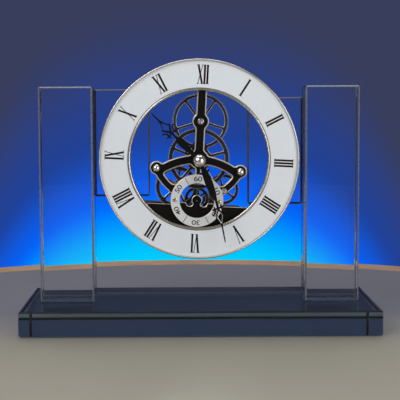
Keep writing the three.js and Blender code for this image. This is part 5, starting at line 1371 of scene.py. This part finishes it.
def tube(points, radius, sides=10):
    """A round wire along a line of points."""
    bm = bmesh.new()
    rows = []
    for k, point in enumerate(points):
        ahead = Vector(points[min(k + 1, len(points) - 1)]) - Vector(points[max(k - 1, 0)])
        side = ahead.cross(Vector((1, 0, 0))).normalized()
        up = side.cross(ahead).normalized()
        rows.append([bm.verts.new(Vector(point) + (side * math.cos(a) + up * math.sin(a)) * radius)
                     for a in (2 * math.pi * n / sides for n in range(sides))])
    for first, second in zip(rows, rows[1:]):
        for n in range(sides):
            m = (n + 1) % sides
            bm.faces.new((first[n], first[m], second[m], second[n]))
    bm.faces.new(rows[0][::-1])
    bm.faces.new(rows[-1])
    return bm


turns, steps = 3.2, 110
helix = []
for k in range(steps + 1):
    t = k / steps
    angle, reach = 2 * math.pi * turns * t, 4.3 - 1.9 * t
    helix.append((-50.85 + 2.45 * t, CELL_Y + reach * math.cos(angle),
                  CELL_Z + reach * math.sin(angle)))
spring = tube(helix, 0.3)
leaf_box = block((-51.65, 12.75, -51.65), (-51.3, 22.65, -41.75), 0.12, 0.04)
spring_mesh = bpy.data.meshes.new("leaf")
leaf_box.to_mesh(spring_mesh)
spring.from_mesh(spring_mesh)
piece("cone_spring", spring, [STEEL, STEEL], "frame", ["spring_contact"])
piece("contact_plate", block((2.95, 13.75, -50.65), (3.3, 21.65, -42.75), 0.12, 0.04),
      [STEEL, STEEL], "frame", ["plate_contact"])
print("cell and contacts placed")

# %% [markdown]
# ## The sliding cover and the setting knob
# The battery cover is a moulded channel that slides off along the tray, with ribs for the
# thumb. The knob that sets the hands is fluted, and turns with the minute hand's arbor. Four
# clear domes of soft rubber under the base keep the glass off the table.

# %% Battery cover, knob and feet
FOOT_X, FOOT_Y = 119.5, 25.0


def channel(left, right):
    """The cover: a U-shaped section, drawn in depth and height, drawn out along x."""
    back, inner_back, open_end = 26.38, 25.25, 19.25
    top, bottom, wall = -36.55, -56.85, 1.15
    section = [(open_end, top), (back, top), (back, bottom), (open_end, bottom),
               (open_end, bottom + wall), (inner_back, bottom + wall), (inner_back, top - wall),
               (open_end, top - wall)]
    loops = [eased(loop, 0.7) for loop in merged([section])]
    bm = plate(loops, right, left, (0.2, 0.2))
    swap_axes = Matrix(((0, 1, 0, 0), (1, 0, 0, 0), (0, 0, 1, 0), (0, 0, 0, 1)))
    bmesh.ops.transform(bm, matrix=swap_axes, verts=bm.verts)
    return bm


cover_bm = channel(-49.85, 4.55)
for k in range(6):
    x = -46.0 + 2.0 * k
    plate([eased(box(x - 0.5, x + 0.5, -52.5, -40.9), 0.45)], 26.39, 26.1, SQUARE,
          (0.14, 0.14), bm=cover_bm)
piece("battery_cover_moulded", cover_bm, [MOULDED, MOULDED], "cover", ["battery_cover"])
flutes = [circle(0.8, *polar(6.25, angle), 16) for angle in range(0, 360, 20)]
knob = plate(merged([circle(5.95, sides=144)], flutes), 18.25, 12.35, (0.35, 0.35), (0.5, 0.5))
piece("setting_knob_fluted", knob, [MOULDED, MOULDED], "minute", ["setting_knob"])
dimple = rounded([(1.2, 18.1), (4.4, 18.1), (4.1, 18.29), (3.6, 18.29), (3.3, 18.12), (1.2, 18.12)],
                 0.06, 2, True)
piece("setting_knob_ring", lathe(dimple, 48, True), [STEEL], "minute")
for side, y in (("front", -FOOT_Y), ("back", FOOT_Y)):
    for end, x in (("left", -FOOT_X), ("right", FOOT_X)):
        dome = lathe(rounded([(0, 0.0), (5.0, 0.0), (5.9, 0.25), (5.5, 0.78), (0, 0.78)], 0.2), 48)
        bmesh.ops.transform(dome, matrix=Matrix.Translation((x, y, 0)) @ Matrix.Rotation(
            math.radians(90), 4, "X"), verts=dome.verts)
        piece("foot_dome_%s_%s" % (side, end), dome, [RUBBER], "frame",
              ["foot_%s_%s" % (side, end)], space=UPRIGHT)
print("cover, knob and feet made")

# %% [markdown]
# ## What the CAD model brings along
# Arbors, pinions and the parts inside the motor keep their CAD shape, because hardly any of
# them shows. They still get finishes of their own.

# %% Finishes for the carried-over parts
COPPER = finish("enamelled_copper", "copper", (0.56, 0.21, 0.085), 0.9, 0.32, "turned",
                (5200, 300, 300), 0.25, 0.08, 0.1)
BOARD = finish("solder_mask", "board_green", (0.018, 0.105, 0.045), 0.0, 0.34, "even",
               (900, 900, 900), 0.12, 0.06, 0.01)
CARRIED = (
    (STEEL, ("centre_arbor", "third_arbor", "seconds_arbor", "top_arbor", "right_arbor",
             "cannon_pinion", "rotor", "stator", "quartz_can")),
    (BRASS, ("intermediate_wheel",)),
    (WHEEL_FACE, ("hour_wheel", "motion_wheel")),
    (COPPER, ("coil",)),
    (BOARD, ("circuit_board",)),
)
for material, nodes in CARRIED:
    for node in nodes:
        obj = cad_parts[node]
        if not obj.material_slots:
            obj.data.materials.append(None)
        for slot in obj.material_slots:
            slot.link = "OBJECT"
            slot.material = material
print("carried over:", sum(len(nodes) for _, nodes in CARRIED))
